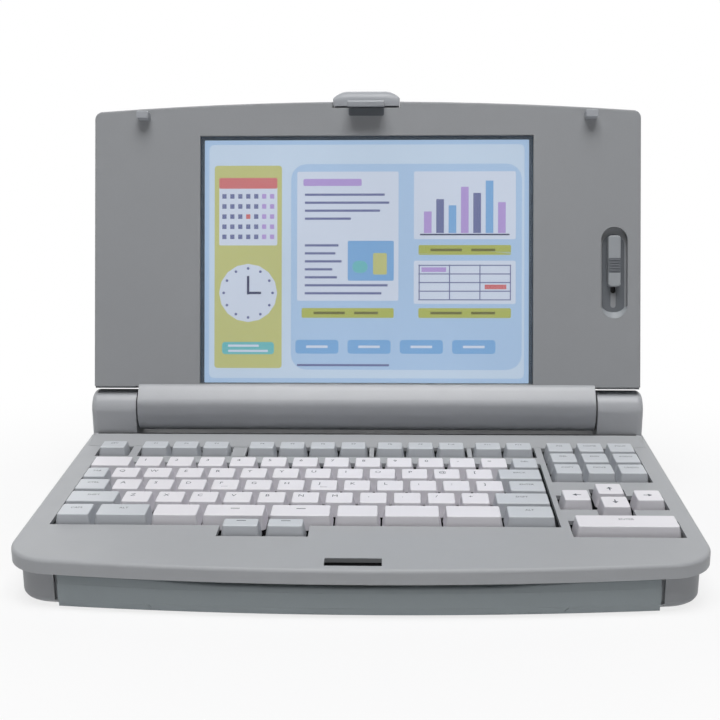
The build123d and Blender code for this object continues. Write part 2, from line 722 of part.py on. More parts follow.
# Hinge brackets with their pins, and the caps over them
for side, side_name in ((-1, "left"), (1, "right")):
    with BuildPart() as hinge_bracket:
        with BuildSketch(deck.offset(-WALL - 0.1)):
            with Locations((side * 163, HINGE_V)):
                Rectangle(24, 26)
        extrude(amount=-3)
        inner_face = side * BRACKET_X
        with BuildSketch(deck_side.offset(inner_face)):
            with BuildLine():
                Polyline(
                    (HINGE_V - BRACKET_WIDE / 2, -4),
                    (HINGE_V + BRACKET_WIDE / 2, -4),
                    (HINGE_V + BRACKET_WIDE / 2, HINGE_H),
                    (HINGE_V - BRACKET_WIDE / 2, HINGE_H),
                    close=True,
                )
            make_face()
            with Locations((HINGE_V, HINGE_H)):
                Circle(BRACKET_WIDE / 2)
        extrude(amount=side * BRACKET_THICK)
        with BuildSketch(deck_side.offset(side * PIN_END)):
            with Locations((HINGE_V, HINGE_H)):
                Circle(PIN_RADIUS)
        extrude(amount=side * (BRACKET_X - PIN_END + 1))
    hinge_bracket.part.label = "hinge_bracket_" + side_name
    export_step(hinge_bracket.part, "parts/hinge_bracket_" + side_name + ".step")

    with BuildPart() as hinge_cap:
        with BuildSketch(deck_side.offset(side * CAP_INNER)):
            add(arch(CAP_RADIUS, 0))
        extrude(amount=side * (CAP_OUTER - CAP_INNER))
        outer_face = hinge_cap.faces().sort_by(Axis.X)[-1 if side > 0 else 0]
        fillet(outer_face.edges().sort_by(Axis.Z)[1:], 4)
        with BuildSketch(deck_side.offset(side * (CAP_INNER + 2))):
            add(arch(CAP_RADIUS - 2, -1))
        extrude(amount=side * (CAP_OUTER - CAP_INNER - 6), mode=Mode.SUBTRACT)
        with BuildSketch(deck_side.offset(side * (CAP_INNER - 1))):
            with Locations((HINGE_V, HINGE_H)):
                Circle(PIN_RADIUS + 0.4)
        extrude(amount=side * 5, mode=Mode.SUBTRACT)
    hinge_cap.part.label = "hinge_cap_" + side_name
    export_step(hinge_cap.part, "parts/hinge_cap_" + side_name + ".step")

    # Leaf in the end of the barrel: it turns on the pin and holds the lid by its tongue
    with BuildPart() as hinge_leaf:
        with BuildSketch(lid_side.offset(side * (BARREL_HALF - 0.5 - LEAF_END))):
            Circle(BARREL_RADIUS - 2.1)
        extrude(amount=side * LEAF_END)
        with BuildSketch(lid_side.offset(side * (TONGUE_X - 5))):
            add(opening(8, 48, -1, 1))
        extrude(amount=side * 10)
        with BuildSketch(lid_side.offset(side * 133)):
            Circle(PIN_RADIUS + RUNNING)
        extrude(amount=side * 20, mode=Mode.SUBTRACT)
    hinge_leaf.part.label = "hinge_leaf_" + side_name
    export_step(hinge_leaf.part, "parts/hinge_leaf_" + side_name + ".step")

# Barrel of the lid
with BuildPart() as hinge_barrel:
    with BuildSketch(lid_side.offset(-BARREL_HALF)):
        Circle(BARREL_RADIUS)
        Circle(BARREL_RADIUS - 2, mode=Mode.SUBTRACT)
    extrude(amount=2 * BARREL_HALF)
    for side in (-1, 1):
        with BuildSketch(lid.offset(-TONGUE_THICK / 2)):
            with Locations((side * TONGUE_X, 13)):
                Rectangle(TONGUE_SLOT, 8)
        extrude(amount=TONGUE_THICK, mode=Mode.SUBTRACT)
    with BuildSketch(lid.offset(-CABLE_THICK / 2)):
        with Locations((0, 13)):
            Rectangle(CABLE_SLOT, 8)
    extrude(amount=CABLE_THICK, mode=Mode.SUBTRACT)
hinge_barrel.part.label = "hinge_barrel"
export_step(hinge_barrel.part, "parts/hinge_barrel.step")

# Lid back shell: a tray whose foot lies on the barrel between the hinge caps
with BuildPart() as lid_back_shell:
    with BuildSketch(lid.offset(BACK_D)):
        add(lid_plan(0, LID_FOOT))
        add(opening(-BARREL_HALF, BARREL_HALF, 4, LID_FOOT + 1))
    extrude(amount=LID_SEAM_D - BACK_D)
    back_face = lid_back_shell.faces().filter_by(lambda face: face.normal_at().dot(lid.z_dir) < -0.99)
    back_rim = back_face.edges().filter_by(lambda edge: edge.center().Z > hinge_point.Z + 30)
    fillet(back_rim, 5)
    with BuildSketch(lid.offset(BACK_D + LID_WALL)):
        add(lid_plan(LID_WALL, LID_FOOT + LID_WALL))
    extrude(amount=LID_SEAM_D - BACK_D, mode=Mode.SUBTRACT)
    with BuildSketch(lid_side.offset(-200)):
        Circle(BARREL_RADIUS + 0.1)
    extrude(amount=400, mode=Mode.SUBTRACT)
    # Slots for the tongues of the leaves and for the cable
    for side in (-1, 1):
        with BuildSketch(lid.offset(-TONGUE_THICK / 2)):
            with Locations((side * TONGUE_X, 16)):
                Rectangle(TONGUE_SLOT, 8)
        extrude(amount=TONGUE_THICK, mode=Mode.SUBTRACT)
    with BuildSketch(lid.offset(-CABLE_THICK / 2)):
        with Locations((0, 16)):
            Rectangle(CABLE_SLOT, 8)
    extrude(amount=CABLE_THICK, mode=Mode.SUBTRACT)
    # Notch of the latch, with a lug and a bore at each end for its pivot pins
    with BuildSketch(lid.offset(LATCH_PIVOT_D - 3)):
        with Locations((0, 195)):
            Rectangle(2 * NOTCH_HALF + 7, 6)
    extrude(amount=6)
    with BuildSketch(lid.offset(-8)):
        add(opening(-NOTCH_HALF, NOTCH_HALF, 191.5, 210))
    extrude(amount=20, mode=Mode.SUBTRACT)
    with BuildSketch(lid_side.offset(-LATCH_HALF - 4)):
        with Locations((LATCH_PIVOT_S, LATCH_PIVOT_D)):
            Circle(1.5 + RUNNING)
    extrude(amount=2 * LATCH_HALF + 8, mode=Mode.SUBTRACT)
lid_back_shell.part.label = "lid_back_shell"
export_step(lid_back_shell.part, "parts/lid_back_shell.step")

# Lid bezel round the screen, with the cup of the brightness slider and the latch notch
with BuildPart() as lid_bezel:
    with BuildSketch(lid.offset(LID_SEAM_D)):
        add(lid_plan(0, LID_FOOT))
        add(opening(-BARREL_HALF, BARREL_HALF, 6, LID_FOOT + 1))
    extrude(amount=BEZEL_THICK)
    with BuildSketch(lid_side.offset(-200)):
        Circle(BARREL_RADIUS + 0.1)
    extrude(amount=400, mode=Mode.SUBTRACT)
    bezel_face = lid_bezel.faces().filter_by(lambda face: face.normal_at().dot(lid.z_dir) > 0.99)
    bezel_rim = bezel_face.edges().filter_by(lambda edge: edge.center().Z > hinge_point.Z + 30)
    fillet(bezel_rim, 1.2)
    with BuildSketch(lid.offset(LID_SEAM_D - 1)):
        add(opening(-WINDOW_HALF, WINDOW_HALF, WINDOW_FOOT, WINDOW_TOP))
    extrude(amount=BEZEL_THICK + 2, mode=Mode.SUBTRACT)
    # Cup of the slider
    with BuildSketch(lid.offset(LID_SEAM_D - 3.5)):
        with Locations((OVAL_X, OVAL_S)):
            SlotOverall(OVAL_LONG + 3, OVAL_WIDE + 3, rotation=90)
    extrude(amount=3.5)
    with BuildSketch(lid.offset(LID_SEAM_D - 2)):
        with Locations((OVAL_X, OVAL_S)):
            SlotOverall(OVAL_LONG, OVAL_WIDE, rotation=90)
    extrude(amount=10, mode=Mode.SUBTRACT)
    with BuildSketch(lid.offset(LID_SEAM_D - 4)):
        with Locations((OVAL_X, OVAL_S)):
            SlotOverall(26, 3.4, rotation=90)
    extrude(amount=6, mode=Mode.SUBTRACT)
    # Notch of the latch
    with BuildSketch(lid.offset(LID_SEAM_D - 1)):
        add(opening(-NOTCH_HALF, NOTCH_HALF, NOTCH_S, NOTCH_S + 20))
    extrude(amount=BEZEL_THICK + 2, mode=Mode.SUBTRACT)
lid_bezel.part.label = "lid_bezel"
export_step(lid_bezel.part, "parts/lid_bezel.step")

# Screen: a clear window, the panel behind it, its lamp and the board that feeds the lamp
with BuildPart() as screen_glass:
    with BuildSketch(lid.offset(LID_SEAM_D)):
        add(opening(-WINDOW_HALF - 4, WINDOW_HALF + 4, WINDOW_FOOT + 1.4, WINDOW_TOP + 4))
    extrude(amount=-1.2)
    with BuildSketch(lid.offset(LID_SEAM_D)):
        add(opening(-WINDOW_HALF + 0.2, WINDOW_HALF - 0.2, WINDOW_FOOT + 0.2, WINDOW_TOP - 0.2))
    extrude(amount=0.4)
screen_glass.part.label = "screen_glass"
export_step(screen_glass.part, "parts/screen_glass.step")

with BuildPart() as lcd_panel:
    with BuildSketch(lid.offset(LID_SEAM_D - 1.3)):
        add(opening(-118, 118, 19, 183))
    extrude(amount=-7)
lcd_panel.part.label = "lcd_panel"
export_step(lcd_panel.part, "parts/lcd_panel.step")

with BuildPart() as backlight_lamp:
    with BuildSketch(lid_side.offset(-112)):
        with Locations((24, -3)):
            Circle(1.6)
    extrude(amount=224)
backlight_lamp.part.label = "backlight_lamp"
export_step(backlight_lamp.part, "parts/backlight_lamp.step")

with BuildPart() as inverter_board:
    with BuildSketch(lid.offset(-6)):
        add(opening(-168, -140, 60, 160))
    extrude(amount=1.6)
    with BuildSketch(lid.offset(-4.4)):
        with Locations((-154, 80), (-154, 110), (-154, 140)):
            Rectangle(16, 18)
    extrude(amount=5)
inverter_board.part.label = "inverter_board"
export_step(inverter_board.part, "parts/inverter_board.step")

# Brightness slider: a ribbed knob and its shank
with BuildPart() as brightness_slider:
    with BuildSketch(lid.offset(LID_SEAM_D - 1.7)):
        with Locations((OVAL_X, SLIDER_S)):
            RectangleRounded(SLIDER_WIDE, SLIDER_LONG, 2)
    extrude(amount=5.2)
    slider_top = brightness_slider.faces().filter_by(lambda face: face.normal_at().dot(lid.z_dir) > 0.99)
    fillet(slider_top.edges(), 0.8)
    with BuildSketch(lid.offset(FACE_D - 0.6)):
        with Locations((OVAL_X, SLIDER_S)):
            Rectangle(SLIDER_WIDE + 2, 3)
    extrude(amount=4, mode=Mode.SUBTRACT)
    with BuildSketch(lid.offset(LID_SEAM_D - 6)):
        with Locations((OVAL_X, SLIDER_S - 1.5)):
            RectangleRounded(2.6, 12, 1.2)
    extrude(amount=4.5)
brightness_slider.part.label = "brightness_slider"
export_step(brightness_slider.part, "parts/brightness_slider.step")

# Latch on the top edge of the lid: a cover, a web with pivot pins, and the hook that enters the deck
with BuildPart() as lid_latch:
    with BuildSketch(lid_side.offset(-LATCH_HALF)):
        with BuildLine():
            Polyline((200.4, -10), (200.4, 7.6), (196.0, 8.2), (196.0, 10.6))
            ThreePointArc((196.0, 10.6), (205.2, 8.6), (206.6, 0))
            ThreePointArc((206.6, 0), (205.2, -7), (200.4, -10))
        make_face()
        with Locations(((LATCH_PIVOT_S + 201) / 2 - 1, LATCH_PIVOT_D)):
            Rectangle(201 - LATCH_PIVOT_S + 3, 4)
    extrude(amount=2 * LATCH_HALF)
    with BuildSketch(lid.offset(-30)):
        with Locations((0, LATCH_TOP - 50)):
            RectangleRounded(2 * LATCH_HALF, 100, 4.5)
    extrude(amount=60, mode=Mode.INTERSECT)
    with BuildSketch(lid_side.offset(-HOOK_HALF)):
        with BuildLine():
            Polyline(
                (198.2, 8),
                (198.2, 22.4),
                (196.6, 24),
                (191.5, 22.2),
                (191.5, 21),
                (195.8, 21),
                (195.8, 8),
                (198.2, 8),
            )
        make_face()
    extrude(amount=2 * HOOK_HALF)
    with BuildSketch(lid_side.offset(-LATCH_HALF - 3.4)):
        with Locations((LATCH_PIVOT_S, LATCH_PIVOT_D)):
            Circle(1.5)
    extrude(amount=2 * LATCH_HALF + 6.8)
lid_latch.part.label = "lid_latch"
export_step(lid_latch.part, "parts/lid_latch.step")

# Bumpers that meet the deck when the lid is shut
with BuildPart() as lid_bumpers:
    with BuildSketch(lid.offset(FACE_D)):
        with Locations((-BUMPER_X, BUMPER_S), (BUMPER_X, BUMPER_S)):
            RectangleRounded(8, 5, 1.2)
    extrude(amount=HINGE_H - FACE_D - 0.3)
    bumper_tops = lid_bumpers.faces().filter_by(lambda face: face.normal_at().dot(lid.z_dir) > 0.99)
    fillet(bumper_tops.edges(), 0.6)
lid_bumpers.part.label = "lid_bumpers"
export_step(lid_bumpers.part, "parts/lid_bumpers.step")

# Printer: frame, paper roller, guide rod and the carriage with its head and ribbon
with BuildPart() as printer_frame:
    for plate_x in (-FRAME_HALF, FRAME_HALF - FRAME_THICK):
        with BuildSketch(Plane.YZ.offset(plate_x)):
            add(opening(FRAME_FRONT, FRAME_REAR, CASE_FLOOR, FRAME_TOP))
        extrude(amount=FRAME_THICK)
    with BuildSketch(Plane.XY.offset(CASE_FLOOR)):
        add(opening(-FRAME_HALF, FRAME_HALF, FRAME_FRONT, FRAME_REAR))
    extrude(amount=1.5)
    with BuildSketch(Plane.YZ.offset(-FRAME_HALF - 1)):
        with Locations((ROLLER_Y, ROLLER_Z)):
            Circle(SHAFT_RADIUS + RUNNING)
        with Locations((ROD_Y, ROD_Z)):
            Circle(SHAFT_RADIUS + 0.02)
    extrude(amount=2 * FRAME_HALF + 2, mode=Mode.SUBTRACT)
printer_frame.part.label = "printer_frame"
export_step(printer_frame.part, "parts/printer_frame.step")

with BuildPart() as platen_roller:
    with BuildSketch(Plane.YZ.offset(-FRAME_HALF - SHAFT_OUT)):
        with Locations((ROLLER_Y, ROLLER_Z)):
            Circle(SHAFT_RADIUS)
    extrude(amount=2 * FRAME_HALF + 2 * SHAFT_OUT)
    with BuildSketch(Plane.YZ.offset(-ROLLER_HALF)):
        with Locations((ROLLER_Y, ROLLER_Z)):
            Circle(ROLLER_RADIUS)
    extrude(amount=2 * ROLLER_HALF)
platen_roller.part.label = "platen_roller"
export_step(platen_roller.part, "parts/platen_roller.step")

with BuildPart() as platen_gear:
    with BuildSketch(Plane.YZ.offset(-FRAME_HALF - SHAFT_OUT)):
        with Locations((ROLLER_Y, ROLLER_Z)):
            Circle(GEAR_RADIUS)
            with PolarLocations(GEAR_RADIUS, GEAR_TEETH):
                Rectangle(3, 1.3)
            Circle(SHAFT_RADIUS, mode=Mode.SUBTRACT)
    extrude(amount=4)
platen_gear.part.label = "platen_gear"
export_step(platen_gear.part, "parts/platen_gear.step")

with BuildPart() as guide_rod:
    with BuildSketch(Plane.YZ.offset(-FRAME_HALF)):
        with Locations((ROD_Y, ROD_Z)):
            Circle(SHAFT_RADIUS)
    extrude(amount=2 * FRAME_HALF)
guide_rod.part.label = "guide_rod"
export_step(guide_rod.part, "parts/guide_rod.step")

with BuildPart() as print_carriage:
    with Locations((CARRIAGE_X, ROD_Y, ROD_Z)):
        Box(*CARRIAGE_SIZE)
    with BuildSketch(Plane.YZ.offset(CARRIAGE_X - 30)):
        with Locations((ROD_Y, ROD_Z)):
            Circle(SHAFT_RADIUS + RUNNING)
    extrude(amount=60, mode=Mode.SUBTRACT)
print_carriage.part.label = "print_carriage"
export_step(print_carriage.part, "parts/print_carriage.step")

with BuildPart() as thermal_head:
    with Locations((CARRIAGE_X, ROLLER_Y - ROLLER_RADIUS - 5, ROLLER_Z)):
        Box(12, 6, 12)
    with Locations((CARRIAGE_X, 101.5, 25)):
        Box(12, 3, 8)
thermal_head.part.label = "thermal_head"
export_step(thermal_head.part, "parts/thermal_head.step")

with BuildPart() as ribbon_cassette:
    with Locations((CARRIAGE_X, CASSETTE_Y, ROD_Z + 7.2)):
        Box(*CASSETTE_SIZE, align=(Align.CENTER, Align.CENTER, Align.MIN))
    fillet(ribbon_cassette.edges().filter_by(Axis.Z), 3)
ribbon_cassette.part.label = "ribbon_cassette"
export_step(ribbon_cassette.part, "parts/ribbon_cassette.step")

with BuildPart() as feed_motor:
    with BuildSketch(Plane.YZ.offset(-FRAME_HALF - MOTOR_LONG)):
        with Locations((MOTOR_Y, MOTOR_Z)):
            Circle(MOTOR_RADIUS)
    extrude(amount=MOTOR_LONG)
    with Locations((-FRAME_HALF - 16, MOTOR_Y, CASE_FLOOR)):
        Box(16, 18, 4, align=(Align.CENTER, Align.CENTER, Align.MIN))
feed_motor.part.label = "feed_motor"
export_step(feed_motor.part, "parts/feed_motor.step")

# Cover of the printer, with the paper slot; it hinges at its rear edge
with BuildPart() as printer_cover:
    with BuildSketch(Plane.XY.offset(COVER_AXIS_Z)):
        add(opening(-BAY_HALF + 0.5, BAY_HALF - 0.5, BAY_FRONT_Y + 0.5, COVER_AXIS_Y))
    extrude(amount=HOUSING_TOP - COVER_AXIS_Z)
    with BuildSketch(Plane.YZ.offset(-BAY_HALF + 0.5)):
        with Locations((COVER_AXIS_Y, COVER_AXIS_Z)):
            Circle(HOUSING_TOP - COVER_AXIS_Z)
    extrude(amount=2 * BAY_HALF - 1)
    with BuildSketch(Plane.YZ.offset(-BAY_HALF - 4)):
        with Locations((COVER_AXIS_Y, COVER_AXIS_Z)):
            Circle(COVER_PIN)
    extrude(amount=2 * BAY_HALF + 8)
    with BuildSketch(Plane.XY.offset(COVER_AXIS_Z - 1)):
        with Locations((0, ROLLER_Y)):
            Rectangle(PAPER_WIDTH, PAPER_SLOT)
    extrude(amount=5, mode=Mode.SUBTRACT)
printer_cover.part.label = "printer_cover"
export_step(printer_cover.part, "parts/printer_cover.step")
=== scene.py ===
import json
import math

import bmesh
import bpy
from mathutils import Matrix, Vector


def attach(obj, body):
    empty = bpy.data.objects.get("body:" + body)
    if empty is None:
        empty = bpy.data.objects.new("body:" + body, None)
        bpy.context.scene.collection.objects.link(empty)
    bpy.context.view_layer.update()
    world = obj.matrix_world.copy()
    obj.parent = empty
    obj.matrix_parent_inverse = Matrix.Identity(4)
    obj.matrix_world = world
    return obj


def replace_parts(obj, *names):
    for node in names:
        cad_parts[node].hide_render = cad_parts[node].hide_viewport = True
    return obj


# Portable word processor: moulded case with a keyboard and a printer behind the hinge, and a
# lid with a flat colour screen. Metres; +X is the user's right, +Y the back, +Z up.
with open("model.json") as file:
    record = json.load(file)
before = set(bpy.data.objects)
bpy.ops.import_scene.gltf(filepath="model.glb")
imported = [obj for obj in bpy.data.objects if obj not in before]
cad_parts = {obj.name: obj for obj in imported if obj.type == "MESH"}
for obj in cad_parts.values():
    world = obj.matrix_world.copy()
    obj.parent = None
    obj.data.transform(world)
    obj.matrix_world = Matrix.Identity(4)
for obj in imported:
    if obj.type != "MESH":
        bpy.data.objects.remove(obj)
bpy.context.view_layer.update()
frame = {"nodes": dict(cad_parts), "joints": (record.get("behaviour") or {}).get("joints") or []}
nodes = frame["nodes"]
joints = {joint["name"]: joint for joint in frame["joints"]}
MM = 0.001
ACROSS = Vector((1, 0, 0))

# The deck: v is the distance behind the number row, h the height over the deck
HINGE = Vector(joints["lid_hinge"]["pos_m"])
HINGE_V = 66.0 * MM
HINGE_H = 18.0 * MM
DECK_UP = -Vector(joints["execute_key_press"]["axis"])
DECK_BACK = DECK_UP.cross(ACROSS)
DECK_ORIGIN = HINGE - HINGE_V * DECK_BACK - HINGE_H * DECK_UP
KEY_TOP = 4.75
PRINT_THICK = 0.015

# The lid: s is the distance from the hinge line, d is forward of it
LID_RISE = -Vector(joints["brightness_slide"]["axis"])
LID_FACE = ACROSS.cross(LID_RISE)
FACE_D = 10.5
BACK_D = -12.5
PANEL_D = 6.7
PICTURE_S = 95.5
PICTURE_WIDE = 211
PICTURE_TALL = 158

# The camera, in the deck's own frame
CAMERA_PLACE = (18.77 * MM, -685.6 * MM, 258.81 * MM)
CAMERA_DOWN = math.radians(15.48)
CAMERA_LEFT = math.radians(1.72)
CAMERA_ROLL = math.radians(-0.33)
LENS = 60.06
SENSOR = 36.0


def placed(origin, rise, face):
    """A matrix whose axes run across, along rise and along face."""
    columns = Matrix((ACROSS, rise, face)).transposed()
    return Matrix.Translation(origin) @ columns.to_4x4()


def on_deck(x, v, h=0.0):
    """A place on the deck, in millimetres: its local Z stands off the deck."""
    spot = DECK_ORIGIN + x * MM * ACROSS + v * MM * DECK_BACK + h * MM * DECK_UP
    return placed(spot, DECK_BACK, DECK_UP)


def on_lid(x, s, d=FACE_D):
    """A place on the lid, in millimetres: its local Y runs up the lid and its local Z out of the screen."""
    spot = HINGE + x * MM * ACROSS + s * MM * LID_RISE + d * MM * LID_FACE
    return placed(spot, LID_RISE, LID_FACE)


def shifted(place, x, y):
    """A place moved along its own axes, in millimetres."""
    return place @ Matrix.Translation((x * MM, y * MM, 0))


# Colours are written as they look on a plain screen
def colour(code):
    """A linear colour from a six digit screen colour."""
    parts = [int(code[index:index + 2], 16) / 255 for index in (0, 2, 4)]
    linear = [((part + 0.055) / 1.055) ** 2.4 if part > 0.04045 else part / 12.92 for part in parts]
    return (*linear, 1.0)


# Mesh helpers, in millimetres
def box_outline(wide, tall, corner=0.0, steps=4):
    """Points round a rectangle about the origin, its corners round or nearly sharp."""
    if not corner:
        corner = 0.05
        steps = 1
    corner = min(corner, wide / 2, tall / 2)
    points = []
    for quarter, (sign_x, sign_y) in enumerate(((1, 1), (-1, 1), (-1, -1), (1, -1))):
        for step in range(steps + 1):
            turn = math.radians(90 * quarter + 90 * step / steps)
            x = sign_x * (wide / 2 - corner) + corner * math.cos(turn)
            y = sign_y * (tall / 2 - corner) + corner * math.sin(turn)
            points.append((x, y))
    return points


def loft(bm, rings, joined=False):
    """A skin through rings of as many points each, capped at its ends or joined on itself."""
    skins = [[bm.verts.new(point) for point in ring] for ring in rings]
    pairs = list(zip(skins[:-1], skins[1:]))
    if joined:
        pairs.append((skins[-1], skins[0]))
    else:
        bm.faces.new(list(reversed(skins[0])))
        bm.faces.new(skins[-1])
    for first, second in pairs:
        for index in range(len(first)):
            after = (index + 1) % len(first)
            bm.faces.new((first[index], first[after], second[after], second[index]))


def ring_at(points, height, place=Matrix()):
    """An outline lifted to a height of its own frame."""
    return [place @ Vector((x * MM, y * MM, height * MM)) for x, y in points]


def slab(bm, points, low, high, place=Matrix()):
    """A closed slab over an outline, between two heights of its own frame."""
    loft(bm, [ring_at(points, low, place), ring_at(points, high, place)])


def rim(bm, outer, inner, low, high, place=Matrix()):
    """A flat frame between two outlines, open in its middle."""
    rings = [ring_at(outer, low, place), ring_at(outer, high, place)]
    rings += [ring_at(inner, high, place), ring_at(inner, low, place)]
    loft(bm, rings, joined=True)


def tray(bm, outer, inner, low, floor, high, place=Matrix()):
    """An open box: walls between two outlines, with a floor."""
    rings = [ring_at(outer, low, place), ring_at(outer, high, place)]
    rings += [ring_at(inner, high, place), ring_at(inner, floor, place)]
    loft(bm, rings)


def lid_point(x, s, d):
    """A point of the lid."""
    return HINGE + (x * ACROSS + s * LID_RISE + d * LID_FACE) * MM


def deck_point(x, v, h):
    """A point of the deck."""
    return DECK_ORIGIN + (x * ACROSS + v * DECK_BACK + h * DECK_UP) * MM


def lettering(bm, writing, tall, place):
    """Plain printed letters, about the middle of a place."""
    curve = bpy.data.curves.new("lettering", "FONT")
    curve.body = writing
    curve.size = tall * MM * 1.4
    curve.align_x = "CENTER"
    curve.align_y = "CENTER"
    curve.resolution_u = 2
    curve.extrude = PRINT_THICK * MM
    maker = bpy.data.objects.new("lettering", curve)
    flat = bpy.data.meshes.new_from_object(maker)
    flat.transform(place)
    bm.from_mesh(flat)
    bpy.data.objects.remove(maker)
    bpy.data.curves.remove(curve)
    bpy.data.meshes.remove(flat)


def piece(name, bm, finish, body, bevel=0.0):
    """A named piece from a mesh in the making, riding on a body."""
    bmesh.ops.remove_doubles(bm, verts=bm.verts, dist=1e-7)
    bmesh.ops.recalc_face_normals(bm, faces=bm.faces)
    mesh = bpy.data.meshes.new(name)
    bm.to_mesh(mesh)
    bm.free()
    mesh.materials.append(finish)
    made = bpy.data.objects.new(name, mesh)
    bpy.context.scene.collection.objects.link(made)
    if bevel:
        round_edges = made.modifiers.new("round_edges", "BEVEL")
        round_edges.width = bevel * MM
        round_edges.segments = 2
        round_edges.limit_method = "ANGLE"
        round_edges.harden_normals = True
    mesh.set_sharp_from_angle(angle=math.radians(35))
    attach(made, body)
    return made


# Shader helpers
def wire(tree, made, sockets):
    """Sets a node's inputs, or links them."""
    for name, value in sockets.items():
        if isinstance(value, bpy.types.NodeSocket):
            tree.links.new(value, made.inputs[name])
        else:
            made.inputs[name].default_value = value


def add(tree, kind, sockets=None, **settings):
    """A shader node with its settings and its inputs."""
    made = tree.nodes.new("ShaderNode" + kind)
    for name, value in settings.items():
        setattr(made, name, value)
    wire(tree, made, sockets or {})
    return made


def math_node(tree, operation, first, second=0.0, third=0.0, clamp=False):
    """The result of a sum on one, two or three values."""
    sockets = {0: first, 1: second, 2: third}
    return add(tree, "Math", sockets, operation=operation, use_clamp=clamp).outputs[0]


def blended(tree, share, first, second):
    """A colour between two, by a share from 0 to 1."""
    return add(tree, "Mix", {0: share, 6: first, 7: second}, data_type="RGBA").outputs[2]


def own_place(tree):
    """Where a point lies in its object's own frame."""
    return add(tree, "TexCoord").outputs["Object"]


def noise(tree, place, scale, detail):
    """Cloudy noise from 0 to 1."""
    return add(tree, "TexNoise", {"Vector": place, "Scale": scale, "Detail": detail}).outputs["Fac"]


def effect(name, inputs, outputs):
    """An empty node group with its named sockets."""
    group = bpy.data.node_groups.new(name, "ShaderNodeTree")
    for label, kind, value in inputs:
        socket = group.interface.new_socket(label, in_out="INPUT", socket_type="NodeSocket" + kind)
        socket.default_value = value
    for label, kind in outputs:
        group.interface.new_socket(label, in_out="OUTPUT", socket_type="NodeSocket" + kind)
    entry = group.nodes.new("NodeGroupInput").outputs
    return group, entry, group.nodes.new("NodeGroupOutput")


def use(tree, group, sockets):
    """An effect placed in a material with its own values."""
    return add(tree, "Group", sockets, node_tree=group)


def finish_base(name):
    """A new material with its tree and its Principled shader."""
    made = bpy.data.materials.new(name)
    made.use_nodes = True
    tree = made.node_tree
    return made, tree, tree.nodes["Principled BSDF"]


def bump(tree, shader, height, distance, normal=None):
    """Feeds a height into the shader's normal."""
    sockets = {"Height": height, "Distance": distance, "Strength": 1.0}
    if normal is not None:
        sockets["Normal"] = normal
    wire(tree, shader, {"Normal": add(tree, "Bump", sockets).outputs["Normal"]})


def make_moulded_grain():
    """Spark-eroded grain of moulded plastic: fine pits, cloudy shade and gloss that drifts."""
    group, entry, leave = effect(
        "moulded_grain",
        [
            ("Colour", "Color", (0.4, 0.4, 0.4, 1)),
            ("Shaded Colour", "Color", (0.35, 0.35, 0.35, 1)),
            ("Grain Scale", "Float", 1800.0),
            ("Roughness", "Float", 0.5),
        ],
        [("Colour", "Color"), ("Roughness", "Float"), ("Height", "Float")],
    )
    spot = own_place(group)
    pits = noise(group, spot, entry["Grain Scale"], 2.0)
    coarse_scale = math_node(group, "MULTIPLY", entry["Grain Scale"], 0.45)
    coarse = add(group, "TexVoronoi", {"Vector": spot, "Scale": coarse_scale}, feature="SMOOTH_F1")
    cloud_share = math_node(group, "MULTIPLY", noise(group, spot, 14.0, 3.0), 0.55)
    pit_share = math_node(group, "MULTIPLY", pits, 0.35)
    share = math_node(group, "ADD", cloud_share, pit_share, clamp=True)
    tone = blended(group, share, entry["Colour"], entry["Shaded Colour"])
    drift = math_node(group, "MULTIPLY_ADD", noise(group, spot, 90.0, 4.0), 0.16, -0.08)
    gloss = math_node(group, "ADD", entry["Roughness"], drift, clamp=True)
    height = math_node(group, "ADD", pits, coarse.outputs["Distance"])
    wire(group, leave, {"Colour": tone, "Roughness": gloss, "Height": height})
    return group


def make_edge_round_and_highlight():
    """Rounded edges: a softened normal, and a patchy mask along the edges for a painted highlight."""
    group, entry, leave = effect(
        "edge_round_and_highlight",
        [("Radius", "Float", 0.0005), ("Amount", "Float", 1.0)],
        [("Mask", "Float"), ("Normal", "Vector")],
    )
    soft = add(group, "Bevel", {"Radius": entry["Radius"]}, samples=4).outputs["Normal"]
    true = add(group, "NewGeometry").outputs["Normal"]
    along = add(group, "VectorMath", {0: soft, 1: true}, operation="DOT_PRODUCT").outputs["Value"]
    turned = math_node(group, "SUBTRACT", 1.0, along)
    patchy = noise(group, own_place(group), 160.0, 3.0)
    edge_highlight_share = math_node(group, "MULTIPLY", turned, entry["Amount"])
    mask = math_node(group, "MULTIPLY", edge_highlight_share, patchy, clamp=True)
    wire(group, leave, {"Mask": mask, "Normal": soft})
    return group


def make_rolled_metal():
    """Zinc plated sheet: fine rolling lines and a blotchy plating."""
    group, entry, leave = effect(
        "rolled_metal",
        [
            ("Colour", "Color", (0.6, 0.6, 0.6, 1)),
            ("Dull Colour", "Color", (0.4, 0.4, 0.4, 1)),
            ("Line Scale", "Float", 900.0),
            ("Roughness", "Float", 0.35),
        ],
        [("Colour", "Color"), ("Roughness", "Float"), ("Height", "Float")],
    )
    spot = own_place(group)
    stretched = add(group, "Mapping", {"Vector": spot, "Scale": (0.04, 1.0, 1.0)}).outputs[0]
    lines = noise(group, stretched, entry["Line Scale"], 2.0)
    blotches = add(group, "TexVoronoi", {"Vector": spot, "Scale": 220.0}, feature="F1")
    share = math_node(group, "MULTIPLY", lines, blotches.outputs["Distance"], clamp=True)
    tone = blended(group, share, entry["Colour"], entry["Dull Colour"])
    drift = math_node(group, "MULTIPLY", lines, 0.2)
    gloss = math_node(group, "ADD", entry["Roughness"], drift, clamp=True)
    wire(group, leave, {"Colour": tone, "Roughness": gloss, "Height": lines})
    return group


